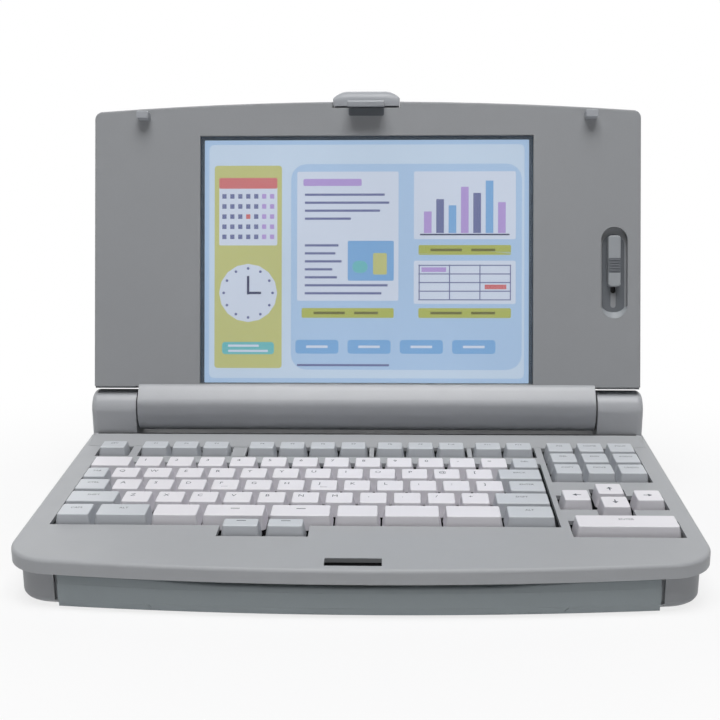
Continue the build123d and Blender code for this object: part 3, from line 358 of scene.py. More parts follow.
def make_key_tone():
    """Grey for the keys beyond two places along a row, white between them."""
    group, entry, leave = effect(
        "key_tone",
        [
            ("White", "Color", (0.7, 0.7, 0.7, 1)),
            ("Grey", "Color", (0.5, 0.5, 0.5, 1)),
            ("Left End", "Float", -1.0),
            ("Right End", "Float", 1.0),
        ],
        [("Colour", "Color")],
    )
    along = add(group, "SeparateXYZ", {0: own_place(group)}).outputs["X"]
    left = math_node(group, "LESS_THAN", along, entry["Left End"])
    right = math_node(group, "GREATER_THAN", along, entry["Right End"])
    share = math_node(group, "MAXIMUM", left, right)
    wire(group, leave, {"Colour": blended(group, share, entry["White"], entry["Grey"])})
    return group


def make_painted_side_shade_mask():
    """A mask of the faces that look up along a set direction, so that painted shade falls only on the sides
    of keys.
    """
    group, entry, leave = effect("painted_side_shade_mask", [("Up", "Vector", tuple(DECK_UP))], [("Mask", "Float")])
    facing = add(group, "TexCoord").outputs["Normal"]
    along = add(group, "VectorMath", {0: facing, 1: entry["Up"]}, operation="DOT_PRODUCT").outputs["Value"]
    top = add(group, "MapRange", {"Value": along, "From Min": 0.4, "From Max": 0.9})
    wire(group, leave, {"Mask": top.outputs[0]})
    return group


def make_screen_dots():
    """Faint rows of picture dots and a soft unevenness over a lit panel."""
    group, entry, leave = effect(
        "screen_dots",
        [("Colour", "Color", (0.5, 0.7, 0.9, 1)), ("Dot Pitch", "Float", 0.33 * MM)],
        [("Colour", "Color")],
    )
    spot = own_place(group)
    axes = add(group, "SeparateXYZ", {0: spot}).outputs
    across = math_node(group, "DIVIDE", axes["X"], entry["Dot Pitch"])
    down = math_node(group, "DIVIDE", axes["Z"], entry["Dot Pitch"])
    column = math_node(group, "PINGPONG", across, 0.5)
    row = math_node(group, "PINGPONG", down, 0.5)
    gap = math_node(group, "MINIMUM", column, row)
    bright = math_node(group, "MULTIPLY_ADD", gap, 0.5, 0.87)
    even = math_node(group, "MULTIPLY_ADD", noise(group, spot, 9.0, 1.0), 0.16, 0.92)
    level = math_node(group, "MULTIPLY", bright, even)
    tone = add(group, "VectorMath", {0: entry["Colour"], "Scale": level}, operation="SCALE")
    wire(group, leave, {"Colour": tone.outputs[0]})
    return group


def make_vent_slots():
    """A mask of upright slots in the rear wall, between two heights and two sides."""
    group, entry, leave = effect(
        "vent_slots",
        [
            ("Pitch", "Float", 6.0 * MM),
            ("Slot", "Float", 2.2 * MM),
            ("Reach", "Float", 90.0 * MM),
            ("Middle", "Float", 22.0 * MM),
            ("Half Height", "Float", 7.0 * MM),
            ("Wall", "Float", 148.3 * MM),
        ],
        [("Mask", "Float")],
    )
    axes = add(group, "SeparateXYZ", {0: own_place(group)}).outputs
    half_pitch = math_node(group, "MULTIPLY", entry["Pitch"], 0.5)
    half_slot = math_node(group, "MULTIPLY", entry["Slot"], 0.5)
    folded = math_node(group, "PINGPONG", axes["X"], half_pitch)
    in_slot = math_node(group, "LESS_THAN", folded, half_slot)
    aside = math_node(group, "ABSOLUTE", axes["X"])
    in_reach = math_node(group, "LESS_THAN", aside, entry["Reach"])
    rise = math_node(group, "SUBTRACT", axes["Z"], entry["Middle"])
    off_middle = math_node(group, "ABSOLUTE", rise)
    in_height = math_node(group, "LESS_THAN", off_middle, entry["Half Height"])
    at_back = math_node(group, "GREATER_THAN", axes["Y"], entry["Wall"])
    across_mask = math_node(group, "MULTIPLY", in_slot, in_reach)
    wall_mask = math_node(group, "MULTIPLY", in_height, at_back)
    wire(group, leave, {"Mask": math_node(group, "MULTIPLY", across_mask, wall_mask)})
    return group


moulded_grain = make_moulded_grain()
edge_round_and_highlight = make_edge_round_and_highlight()
rolled_metal = make_rolled_metal()
key_tone = make_key_tone()
painted_side_shade_mask = make_painted_side_shade_mask()
screen_dots = make_screen_dots()
vent_slots = make_vent_slots()


# Finishes
def dress(tree, shader, sheet, edge_effect, skin, depth, sockets):
    """Gives the shader a skin colour with a sheet's gloss and grain and softened edges."""
    wire(tree, shader, {"Base Color": skin, "Roughness": sheet.outputs["Roughness"], **sockets})
    bump(tree, shader, sheet.outputs["Height"], depth, normal=edge_effect.outputs["Normal"])


def moulded(name, tone, shade, grain=1800.0, roughness=0.5, edge_highlight=2.0, vented=False):
    """Moulded plastic with its grain, softly rounded edges paled by a painted highlight, and vent slots if
    it has them.
    """
    made, tree, shader = finish_base(name)
    plain = colour(tone)
    sheet = use(
        tree,
        moulded_grain,
        {"Colour": plain, "Shaded Colour": colour(shade), "Grain Scale": grain, "Roughness": roughness},
    )
    edge_effect = use(tree, edge_round_and_highlight, {"Radius": 0.35 * MM, "Amount": edge_highlight})
    # Painted highlight: the skin is paled in patches along the edges.
    painted_edge_highlight = tuple(min(1.0, part * 1.3) for part in plain[:3]) + (1.0,)
    skin = blended(tree, edge_effect.outputs["Mask"], sheet.outputs["Colour"], painted_edge_highlight)
    if vented:
        slots = use(tree, vent_slots, {})
        skin = blended(tree, slots.outputs["Mask"], skin, SLOT_DARK)
    dress(tree, shader, sheet, edge_effect, skin, 0.02 * MM, {"Specular IOR Level": 0.4})
    return made


def keycap(name, left_end=-1.0, right_end=1.0):
    """Keycaps of one row: satin plastic, white between the two ends and grey beyond them, with painted
    shade darkening their sides.
    """
    made, tree, shader = finish_base(name)
    ends = {"White": KEY_WHITE, "Grey": KEY_GREY, "Left End": left_end, "Right End": right_end}
    tone = use(tree, key_tone, ends).outputs["Colour"]
    top_face = use(tree, painted_side_shade_mask, {}).outputs["Mask"]
    # Painted shade: the sides of each key are darkened, the tops keep their tone.
    painted_side_shade = blended(tree, 0.16, tone, (0.02, 0.01, 0.04, 1))
    tone_with_painted_side_shade = blended(tree, top_face, painted_side_shade, tone)
    shade = blended(tree, 0.09, tone_with_painted_side_shade, (0.05, 0.05, 0.06, 1))
    sheet = use(
        tree,
        moulded_grain,
        {"Colour": tone_with_painted_side_shade, "Shaded Colour": shade, "Grain Scale": 2600.0, "Roughness": 0.42},
    )
    edge_effect = use(tree, edge_round_and_highlight, {"Radius": 0.3 * MM, "Amount": 1.0})
    skin = sheet.outputs["Colour"]
    dress(tree, shader, sheet, edge_effect, skin, 0.012 * MM, {"Specular IOR Level": 0.45})
    return made


def metal(name, tone, dull, lines=900.0, roughness=0.32):
    """Plated or turned metal."""
    made, tree, shader = finish_base(name)
    sheet = use(
        tree,
        rolled_metal,
        {"Colour": colour(tone), "Dull Colour": colour(dull), "Line Scale": lines, "Roughness": roughness},
    )
    edge_effect = use(tree, edge_round_and_highlight, {"Radius": 0.2 * MM, "Amount": 1.0})
    dress(tree, shader, sheet, edge_effect, sheet.outputs["Colour"], 0.004 * MM, {"Metallic": 1.0})
    return made


def printed_board(name):
    """Green circuit board: copper traces under solder mask."""
    made, tree, shader = finish_base(name)
    spot = own_place(tree)
    traces = add(tree, "TexVoronoi", {"Vector": spot, "Scale": 260.0}, feature="F1", distance="CHEBYCHEV")
    track = math_node(tree, "PINGPONG", math_node(tree, "MULTIPLY", traces.outputs["Distance"], 9.0), 0.5)
    share = math_node(tree, "GREATER_THAN", track, 0.3)
    tone = blended(tree, share, colour("2c5a3c"), colour("4a8258"))
    wire(tree, shader, {"Base Color": tone, "Roughness": 0.35})
    bump(tree, shader, share, 0.03 * MM)
    return made


def clear_window(name):
    """Clear window over the panel."""
    made, tree, shader = finish_base(name)
    gloss = math_node(tree, "MULTIPLY", noise(tree, own_place(tree), 24.0, 3.0), 0.06)
    clear = {"Base Color": (1, 1, 1, 1), "Transmission Weight": 1.0, "IOR": 1.2}
    wire(tree, shader, {"Roughness": gloss, **clear})
    return made


def lit(name, tone, strength=0.72):
    """A lit part of the screen's picture."""
    made, tree, shader = finish_base(name)
    dots = use(tree, screen_dots, {"Colour": tone})
    glow = {"Emission Color": dots.outputs["Colour"], "Emission Strength": strength}
    wire(tree, shader, {"Base Color": (0.02, 0.02, 0.02, 1), "Roughness": 0.6, **glow})
    return made


LOWER = "9b9da0"
LOWER_SHADE = "939598"
KEY_WHITE = colour("f4f2f7")
KEY_GREY = colour("d4d8dd")
SLOT_DARK = colour("2b2c2f")

deck_skin = moulded("deck_skin", "b0b2b5", "a8aaad")
lid_skin = moulded("lid_skin", LOWER, LOWER_SHADE, edge_highlight=0.8)
# Painted light: the barrel's plastic is paler than the lid's, to brighten the barrel's lit top.
barrel_lit_skin = moulded("barrel_lit_skin", "b4b6ba", "acaeb2", roughness=0.34)
tub_skin = moulded("tub_skin", LOWER, LOWER_SHADE)
vented_skin = moulded("vented_skin", LOWER, LOWER_SHADE, vented=True)
handle_skin = moulded("handle_skin", "969ea1", "8f979a", grain=1400.0, roughness=0.55)
pale_latch = moulded("pale_latch", "a8abb0", "a0a3a8", grain=2400.0, roughness=0.42)
slider_skin = moulded("slider_skin", "a0a4a8", "989ca0", grain=2400.0, roughness=0.42)
seal_skin = moulded("seal_skin", "3d4c5c", "364452", grain=2400.0, roughness=0.5)
slate_plastic = moulded("slate_plastic", "6a6e73", "5f6368", grain=2400.0, roughness=0.5)
legend_ink = moulded("legend_ink", "5a5f68", "525760", grain=3000.0, roughness=0.5)
black_plastic = moulded("black_plastic", "2a2b2d", "222325", grain=2400.0, roughness=0.45)
cream_plastic = moulded("cream_plastic", "dedacd", "d4d0c3", grain=2400.0, roughness=0.4)
foot_rubber = moulded("foot_rubber", "2e2e2f", "262627", grain=1200.0, roughness=0.8)
roller_rubber = moulded("roller_rubber", "333436", "2a2b2d", grain=3200.0, roughness=0.65)
zinc = metal("zinc", "b8bab8", "8f928f")
turned_steel = metal("turned_steel", "c4c6c8", "a0a2a4", lines=2500.0, roughness=0.22)
dark_plate = metal("dark_plate", "4a4b4e", "38393c", roughness=0.5)
green_board = printed_board("green_board")
window_glass = clear_window("window_glass")
lamp_glow = lit("lamp_glow", (0.9, 0.95, 1.0, 1.0), 0.8)
green_glow = lit("green_glow", colour("59c46a"), 0.5)

node_finish = {
    "upper_case": deck_skin,
    "printer_cover": deck_skin,
    "lower_case": vented_skin,
    "carry_handle": handle_skin,
    "lid_back_shell": lid_skin,
    "lid_bezel": lid_skin,
    "hinge_barrel": barrel_lit_skin,
    "hinge_cap_left": barrel_lit_skin,
    "hinge_cap_right": barrel_lit_skin,
    "brightness_slider": slider_skin,
    "lid_latch": pale_latch,
    "lid_bumpers": pale_latch,
    "rubber_feet": foot_rubber,
    "platen_roller": roller_rubber,
    "platen_gear": cream_plastic,
    "print_carriage": black_plastic,
    "ribbon_cassette": black_plastic,
    "power_inlet": black_plastic,
    "power_switch": black_plastic,
    "floppy_eject_button": tub_skin,
    "keyboard_plate": dark_plate,
    "main_board": green_board,
    "key_switch_board": green_board,
    "inverter_board": green_board,
    "screen_glass": window_glass,
    "backlight_lamp": lamp_glow,
    "guide_rod": turned_steel,
    "thermal_head": turned_steel,
}
row_ends = {
    "number_row_keys": (-1.0, 88.0 * MM),
    "upper_letter_keys": (-150.3 * MM, 78.3 * MM),
    "home_row_keys": (-145.7 * MM, 83.0 * MM),
    "lower_letter_keys": (-135.9 * MM, 73.5 * MM),
    "bottom_row_keys": (-114.5 * MM, 78.3 * MM),
    "escape_key": (1.0, 1.0),
    "function_keys": (1.0, 1.0),
    "cluster_keys": (1.0, 1.0),
    "front_key_left": (1.0, 1.0),
    "front_key_right": (1.0, 1.0),
}
white_caps = keycap("white_caps")
for node_name, (left_end, right_end) in row_ends.items():
    node_finish[node_name] = keycap(node_name + "_finish", left_end, right_end)
for node_name, node_object in nodes.items():
    if node_name.startswith(("arrow_key", "thumb_shift", "execute_key")):
        finish = white_caps
    else:
        finish = node_finish.get(node_name, zinc)
    node_object.data.materials.clear()
    node_object.data.materials.append(finish)


# The screen's picture: thin layers between the panel and its window
LAYER = 0.008
GLOW = {
    "sky": colour("b2d2f6"),
    "haze": colour("cfe4fb"),
    "leaf": colour("c9cd84"),
    "pill": colour("b6bf5c"),
    "stem": colour("6f7030"),
    "sheet": colour("dbe7fb"),
    "ink": colour("6a74a8"),
    "navy": colour("2f3a66"),
    "lilac": colour("b9a0e4"),
    "rose": colour("d87478"),
    "button": colour("7db4ea"),
    "teal": colour("6cc4cc"),
}
glow_finish = {name: lit("glow_" + name, tone) for name, tone in GLOW.items()}
picture = {name: bmesh.new() for name in GLOW}


def tile(shade, x, s, wide, tall, layer, corner=0.0):
    """A rounded patch of the picture, by its middle, in millimetres."""
    low = (layer + 0.15) * LAYER
    high = (layer + 0.85) * LAYER
    slab(picture[shade], box_outline(wide, tall, corner), low, high, on_lid(x, s, PANEL_D))


def text_bars(shade, x, s, widths, pitch, tall, layer):
    """Short bars that stand for lines of writing, from a left edge down."""
    for index, wide in enumerate(widths):
        tile(shade, x + wide / 2, s - index * pitch, wide, tall, layer)


def label_pill(x, s, wide):
    """A green label with two words on it."""
    tile("pill", x, s, wide, 6.4, 2, 1.0)
    tile("stem", x - wide * 0.2, s, wide * 0.34, 1.7, 3)
    tile("stem", x + wide * 0.2, s, wide * 0.26, 1.7, 3)


def screen_picture():
    """A plain start page: a month, a clock, a page of writing, a chart and a table."""
    tile("sky", 0, PICTURE_S, PICTURE_WIDE, PICTURE_TALL, 0)
    tile("haze", 0, PICTURE_S, PICTURE_WIDE - 6, PICTURE_TALL - 6, 1, 3)
    tile("sky", 26, 92, 150, 134, 2, 10)
    # Month and clock
    tile("leaf", -77, 92, 44, 132, 2, 2)
    tile("sheet", -77, 128, 38, 44, 3, 1)
    tile("rose", -77, 146.5, 38, 7, 4, 1)
    for week in range(5):
        for day in range(7):
            shade = "lilac" if day > 4 else "ink"
            if (week, day) == (2, 3):
                shade = "rose"
            tile(shade, -92.6 + day * 5.2, 138 - week * 6.6, 2.8, 3.0, 4)
    tile("sheet", -77, 75, 38, 38, 3, 19)
    for hour in range(12):
        turn = math.radians(30 * hour)
        tile("ink", -77 + 16 * math.sin(turn), 75 + 16 * math.cos(turn), 1.8, 1.8, 4, 0.9)
    tile("navy", -77, 80, 1.6, 12, 5)
    tile("navy", -73, 75, 9, 1.6, 5)
    tile("teal", -77, 39, 34, 8, 3, 2)
    text_bars("sheet", -90, 40.6, (20, 26), 3.4, 1.4, 4)
    # Page of writing
    tile("sheet", -12, 112, 66, 84, 3, 1)
    tile("lilac", -22, 147, 38, 4.6, 4, 1)
    text_bars("ink", -40, 139, (52, 55, 49, 30), 5.2, 1.5, 4)
    tile("button", 3, 96, 30, 26, 4, 1)
    text_bars("ink", -40, 106, (22, 20, 24, 18, 21), 5.2, 1.5, 4)
    text_bars("ink", -40, 80, (54, 50), 5.2, 1.5, 4)
    tile("teal", -4, 92, 10, 8, 5, 4)
    tile("leaf", 9, 94, 9, 14, 5, 1)
    label_pill(-12, 62, 60)
    # Chart
    tile("sheet", 64, 132, 66, 44, 3, 1)
    for bar, tall in enumerate((14, 22, 18, 30, 26, 34, 20)):
        shade = ("lilac", "ink", "button")[bar % 3]
        tile(shade, 40 + bar * 8, 114 + tall / 2, 5, tall, 4)
    tile("navy", 64, 113, 58, 1, 4)
    label_pill(64, 103, 60)
    # Table
    tile("sheet", 64, 82, 66, 28, 3, 1)
    for line in range(5):
        tile("ink", 64, 93 - line * 5.6, 60, 0.7, 4)
    for column in range(4):
        tile("ink", 34.5 + column * 19.7, 82, 0.7, 23, 4)
    tile("lilac", 44, 90.2, 16, 3, 4)
    tile("rose", 84, 79, 14, 3, 4)
    label_pill(64, 62, 60)
    # Buttons
    for index in range(4):
        x = -32 + index * 34
        tile("button", x, 40, 28, 9, 3, 2)
        tile("sheet", x, 40, 14, 1.6, 4)
    text_bars("ink", -45, 28, (60,), 3, 1.4, 3)


screen_picture()
for shade_name, shade_mesh in picture.items():
    piece("screen_picture_" + shade_name, shade_mesh, glow_finish[shade_name], "lid")


# Dark seal round the lit panel
def screen_seal():
    """A thin slate frame between the bezel and the lit panel."""
    outer = box_outline(PICTURE_WIDE + 8, PICTURE_TALL + 8, 0.5)
    inner = box_outline(PICTURE_WIDE, PICTURE_TALL, 0.5)
    bm = bmesh.new()
    rim(bm, outer, inner, 0.0, 0.08, on_lid(0, PICTURE_S, PANEL_D))
    piece("screen_seal", bm, seal_skin, "lid")


screen_seal()


# Raised strip of the deck in front of the hinge
FAIRING_HALF = 178.5
FAIRING_FRONT = 40.5
FAIRING_BACK = 53.6
FAIRING_TALL = 4.6


def hinge_fairing():
    """A low ramp between the function keys and the barrel, with softened ends."""
    profile = (
        (FAIRING_FRONT, -0.3),
        (FAIRING_FRONT, 0.15),
        (FAIRING_FRONT + 3, 0.9),
        (FAIRING_BACK - 2.6, FAIRING_TALL - 0.5),
        (FAIRING_BACK - 1.0, FAIRING_TALL),
        (FAIRING_BACK, FAIRING_TALL - 0.8),
        (FAIRING_BACK, -0.3),
    )
    ends = ((FAIRING_HALF, 0.5), (FAIRING_HALF - 1.5, 0.86), (FAIRING_HALF - 4, 1.0))
    stations = [(-x, tall) for x, tall in ends] + [(x, tall) for x, tall in reversed(ends)]
    bm = bmesh.new()
    loft(bm, [[deck_point(x, v, h * tall if h > 0 else h) for v, h in profile] for x, tall in stations])
    piece("hinge_fairing", bm, deck_skin, "base")


hinge_fairing()


# Lid: the sill over the barrel, the pads under its foot and the trim of its top edge
SILL_HALF = 147.5
SHADOW_STRIP_HALF = 174.4
LID_TOP_S = 199.0
LID_TOP_DROP = 6.5
LID_HALF = 177.0
TRIM_START = 22.3
TRIM_LONG = 149.2
TRIM_FADE = 171.5
TRIM_STEPS = 50


def smooth(value):
    """Eases a share between 0 and 1."""
    share = min(1.0, max(0.0, value))
    return share * share * (3 - 2 * share)


def barrel_cowl():
    """A bulging sill that carries the barrel's curve up to the foot of the window."""
    front = (
        (15.4, 10.6), (14.9, 11.5), (13.6, 12.5), (11.2, 13.8), (8.4, 15.2), (6.1, 16.3), (4.6, 16.9),
        (3.4, 17.1), (2.2, 16.95), (0.6, 16.5), (-1.3, 15.8), (-3.3, 15.0), (-5.2, 14.0), (-7.0, 12.7),
        (-8.5, 11.5), (-9.2, 10.8),
    )
    back = ((-8.9, 10.8), (-4.5, 13.0), (0.0, 13.8), (5.0, 12.9), (9.0, 10.6), (13.9, 10.2), (15.4, 10.2))
    bm = bmesh.new()
    loft(bm, [[lid_point(x, s, d) for s, d in front + back] for x in (-SILL_HALF, SILL_HALF)])
    piece("barrel_cowl", bm, barrel_lit_skin, "lid")


def lid_foot_pads():
    """Low pads under the lid's foot, over the two hinge caps."""
    bm = bmesh.new()
    foot = ((14.3, -11.0), (14.3, 9.6), (13.2, 9.9), (12.8, 9.4), (12.8, -10.6), (13.2, -11.0))
    for left, right in ((-176.3, -150.2), (150.2, 176.3)):
        loft(bm, [[lid_point(x, s, d) for s, d in foot] for x in (left, right)])
    piece("lid_foot_pads", bm, lid_skin, "lid")


def lid_top_trim():
    """The rounded back edge of the lid's top, on both sides of the latch, and the cheeks of its notch."""
    bm = bmesh.new()
    edge_round = 5.0
    edge_d = -7.5
    inner_round = 3.6
    foot = 9.4
    arc = [math.radians(7.5 * step) for step in range(13)]
    cheek = ((191.6, -7.0), (191.6, 9.6), (198.8, 9.6), (198.8, -7.0))
    for sign in (-1, 1):
        rings = []
        for step in range(TRIM_STEPS + 1):
            x = sign * (TRIM_START + TRIM_LONG * step / TRIM_STEPS)
            top = LID_TOP_S - LID_TOP_DROP * (x / LID_HALF) ** 2
            proud = 0.16 * smooth((TRIM_FADE - abs(x)) / 4) - 0.02
            reach = edge_round + proud
            middle = top - edge_round
            profile = [(top - 0.3, edge_d + 3.4), (top + proud, edge_d + 1.6)]
            profile += [(middle + reach * math.cos(a), edge_d - reach * math.sin(a)) for a in arc]
            profile += [(top - 7.6, edge_d - reach), (top - foot, edge_d - edge_round + 0.3)]
            profile += [(top - foot, edge_d - inner_round)]
            for a in reversed(arc):
                profile.append((middle + inner_round * math.cos(a), edge_d - inner_round * math.sin(a)))
            profile += [(top - 1.4, edge_d + 3.4)]
            ring = [lid_point(x, s, d) for s, d in profile]
            rings.append(ring if sign > 0 else list(reversed(ring)))
        loft(bm, rings)
        loft(bm, [[lid_point(sign * x, s, d) for s, d in cheek] for x in (21.8, 22.5)])
    piece("lid_top_trim", bm, lid_skin, "lid")


def barrel_painted_shadow():
    """A dark strip along the back of the raised deck, under the barrel: painted shadow where the barrel
    shades the deck.
    """
    profile = (
        (FAIRING_BACK - 1.9, FAIRING_TALL - 0.9),
        (FAIRING_BACK - 1.9, FAIRING_TALL - 0.22),
        (FAIRING_BACK - 1.0, FAIRING_TALL + 0.06),
        (FAIRING_BACK + 0.05, FAIRING_TALL - 0.76),
        (FAIRING_BACK + 0.05, FAIRING_TALL - 2.6),
        (FAIRING_BACK - 0.5, FAIRING_TALL - 2.6),
    )
    bm = bmesh.new()
    loft(bm, [[deck_point(x, v, h) for v, h in profile] for x in (-SHADOW_STRIP_HALF, SHADOW_STRIP_HALF)])
    # Painted shadow: black plastic laid in the barrel's shade.
    piece("barrel_painted_shadow", bm, black_plastic, "base")


barrel_cowl()
lid_foot_pads()
lid_top_trim()
barrel_painted_shadow()


# Deck: the catch under the latch slot, and the ribs of the function row
def latch_catch():
    """A dark box under the latch slot, where the hook goes in."""
    outer = box_outline(30.8, 10.8)
    inner = box_outline(29.2, 9.2)
    bm = bmesh.new()
    tray(bm, outer, inner, -8.4, -7.4, -1.6, on_deck(-2.0, -131.5))
    piece("latch_catch", bm, black_plastic, "base")


def function_row_ribs():
    """Ribs of the deck between the groups of function keys."""
    bm = bmesh.new()
    for left, right in ((-84.0, -75.1), (2.9, 5.8), (64.5, 67.4)):
        slab(bm, box_outline(right - left, 16.4), -2.4, 0.0, on_deck((left + right) / 2, 30.3))
    piece("function_row_ribs", bm, deck_skin, "base")


latch_catch()
function_row_ribs()


# Handle: the raised shoulder along its top, and the sole under its bar
HANDLE_FRONT_V = -138.8
HANDLE_BOW = 9.1
HANDLE_END = 153.5
HANDLE_PLACES = [step * 4.03 for step in range(-38, 39)]


def handle_front(x):
    """How far forward the bar's bowed face stands at a place along it."""
    return HANDLE_FRONT_V + HANDLE_BOW * (x / HANDLE_END) ** 2


def handle_shoulder():
    """A rounded rib along the bar's top edge, that closes on the lip towards its ends."""
    bm = bmesh.new()
    foot = -14.5
    rings = []
    for x in HANDLE_PLACES:
        front = handle_front(x)
        top = -11.0 + 2.2 * smooth((abs(x) - 62) / 60)
        profile = (
            (0.05, foot), (0.05, top - 1.0), (0.5, top - 0.3), (1.2, top), (4.6, top), (5.2, foot),
        )
        rings.append([deck_point(x, front + v, h) for v, h in profile])
    loft(bm, rings)
    piece("handle_shoulder", bm, handle_skin, "handle")


def handle_sole():
    """The lower edge of the bar, in front of the case's floor."""
    floor_edge = -131.4
    bottom = 1.6 * MM
    top = 5.2 * MM
    bm = bmesh.new()
    rings = []
    for x in HANDLE_PLACES:
        front = handle_front(x)
        back = max(floor_edge, front + 0.4)
        profile = (
            (front, top), (front, bottom + 0.8 * MM), (front + 0.2, bottom), (back, bottom), (back, top),
        )
        ring = []
        for v, z in profile:
            point = deck_point(x, v, 0)
            ring.append(point + DECK_UP * ((z - point.z) / DECK_UP.z))
        rings.append(ring)
    loft(bm, rings)
    piece("handle_sole", bm, handle_skin, "handle")


handle_shoulder()
handle_sole()


# Latch: a domed cap with its hook, in place of the plain one
def latch_dome():
    """The pale cap on the lid's top edge, lower towards its ends."""
    profile = (
        (200.4, -9.8), (200.4, 7.4), (196.2, 8.0), (196.0, 10.4), (198.4, 10.7), (201.0, 10.6),
        (203.4, 9.9), (205.2, 8.4), (206.3, 6.0), (206.7, 3.0), (206.6, 0.0), (206.2, -3.6), (205.0, -6.9),
        (202.9, -8.8),
    )
    half = ((21.6, 1.2), (21.1, 2.2), (19.7, 3.5), (17.8, 4.7), (15.5, 5.7), (12.8, 6.2))
    stations = [(-x, tall) for x, tall in half] + [(x, tall) for x, tall in reversed(half)]
    bm = bmesh.new()
    rings = []
    for x, tall in stations:
        share = tall / 6.2
        rings.append([
            lid_point(x, s if s < 200.5 else 200.4 + (s - 200.4) * share, d * (0.9 + 0.1 * share))
            for s, d in profile
        ])
    loft(bm, rings)
    stem = ((201.0, -6.0), (201.0, -2.0), (194.6, -2.0), (194.6, -6.0))
    loft(bm, [[lid_point(x, s, d) for s, d in stem] for x in (-21.4, 21.4)])
    return piece("latch_dome", bm, pale_latch, "latch", bevel=0.25)


def latch_hook():
    """The hook that reaches into the deck, with its tooth turned down."""
    profile = (
        (198.2, 8.0), (197.4, 20.4), (197.0, 21.9), (196.1, 23.2), (193.4, 22.7), (193.0, 22.2),
        (193.0, 21.5), (194.4, 20.9), (195.2, 20.2), (195.4, 8.0),
    )
    bm = bmesh.new()
    loft(bm, [[lid_point(x, s, d) for s, d in profile] for x in (-11.8, 11.8)])
    piece("latch_hook", bm, pale_latch, "latch", bevel=0.3)


def latch_painted_shadow():
    """A dark plate on the bezel under the hook, as painted shadow."""
    bm = bmesh.new()
    slab(bm, box_outline(23, 5.2, 1.2), -0.3, 0.05, on_lid(0, 192.2))
    # Painted shadow: slate plastic laid on the bezel where the hook shades it.
    piece("latch_painted_shadow", bm, slate_plastic, "lid")


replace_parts(latch_dome(), "lid_latch")
latch_hook()
latch_painted_shadow()


# Brightness slider: its dark track that paints shade in the cup, its rail, the grip on the knob and the lit
# lip of the cup
CUP_X = 160.0
CUP_FOOT_S = 67.0
CUP_RADIUS = 8.45
GRIP_S = 92.7
GRIP_D = 11.5
RIDGE_PITCH = 1.7


def slider_trim():
    """The parts in the oval cup."""
    bm = bmesh.new()
    # Painted shade: a slate plate darkens the floor of the cup under the knob.
    rim(bm, box_outline(14.2, 53, 7.0), box_outline(3.4, 42, 1.6), 0.0, 0.2, on_lid(CUP_X, 86.6, 6.0))
    piece("slider_track_painted_shade", bm, slate_plastic, "lid")
    bm = bmesh.new()
    slab(bm, box_outline(6, 46, 1), 0.0, 0.5, on_lid(CUP_X, 87.5, 0.9))
    piece("slider_rail", bm, black_plastic, "lid")
    bm = bmesh.new()
    slab(bm, box_outline(7.7, 9.6, 0.8), -0.6, 0.06, on_lid(CUP_X, GRIP_S, GRIP_D))
    for line in range(5):
        place = on_lid(CUP_X, GRIP_S - 3.4 + RIDGE_PITCH * line, GRIP_D)
        slab(bm, box_outline(6.6, 0.7, 0.3), 0.0, 0.3, place)
    piece("slider_grip", bm, slate_plastic, "brightness_knob")
    bm = bmesh.new()
    rings = []
    for step in range(17):
        turn = math.radians(186 + 168 * step / 16)
        inner = 8.2 - 3.8 * abs(math.sin(turn)) ** 0.8
        ring = []
        for reach, d in ((CUP_RADIUS, 10.4), (inner, 7.0), (inner, 6.0), (CUP_RADIUS, 6.0)):
            x = CUP_X + reach * math.cos(turn)
            ring.append(lid_point(x, CUP_FOOT_S + reach * math.sin(turn), d))
        rings.append(ring)
    loft(bm, rings)
    piece("cup_lip", bm, slider_skin, "lid")


slider_trim()


# Key legends
LETTER_TALL = 3.3
WORD_TALL = 2.0
KEY_WORDS = {
    "number_row_keys": ["", *"1234567890", "-", "=", "DEL"],
    "upper_letter_keys": ["TAB", *"QWERTYUIOP", "@", "[", "BACK"],
    "home_row_keys": ["CTRL", *"ASDFGHJKL;", ":", "]", "ENTER"],
    "lower_letter_keys": ["SHIFT", *"ZXCVBNM,./", "+", "SHIFT"],
    "bottom_row_keys": ["CAPS", "ALT", "", "", "", "", "ALT"],
    "function_keys": ["F%d" % number for number in range(1, 13)],
    "escape_key": ["ESC"],
    "cluster_keys": ["INS", "HOME", "PGUP", "DEL", "END", "PGDN", "COPY", "MOVE", "UNDO"],
    "execute_key": ["ENTER"],
}
ARROWS = {"arrow_key_right": 0, "arrow_key_up": 90, "arrow_key_left": 180, "arrow_key_down": 270}
PLAIN_BARS = ("thumb_shift_left", "thumb_shift_right", "front_key_left", "front_key_right")


def key_spots(node_name):
    """The middle of each key of a node, by row from the back, then from the left."""
    bm = bmesh.new()
    bm.from_mesh(nodes[node_name].data)
    bmesh.ops.remove_doubles(bm, verts=bm.verts, dist=1e-6)
    waiting = set(bm.verts)
    spots = []
    for start in bm.verts:
        if start not in waiting:
            continue
        waiting.discard(start)
        front = [start]
        xs = []
        vs = []
        while front:
            vert = front.pop()
            away = vert.co - DECK_ORIGIN
            xs.append(away.x / MM)
            vs.append(away.dot(DECK_BACK) / MM)
            for edge in vert.link_edges:
                other = edge.other_vert(vert)
                if other in waiting:
                    waiting.discard(other)
                    front.append(other)
        spots.append(((min(xs) + max(xs)) / 2, (min(vs) + max(vs)) / 2))
    bm.free()
    return sorted(spots, key=lambda spot: (-round(spot[1] / 8), spot[0]))


def on_key(x, v):
    """A place on a key's top, in millimetres."""
    return on_deck(x, v, KEY_TOP)


def legend(node_name, bm):
    """The print on one node's keys, riding with them."""
    piece("legends_" + node_name, bm, legend_ink, node_name + "_body")


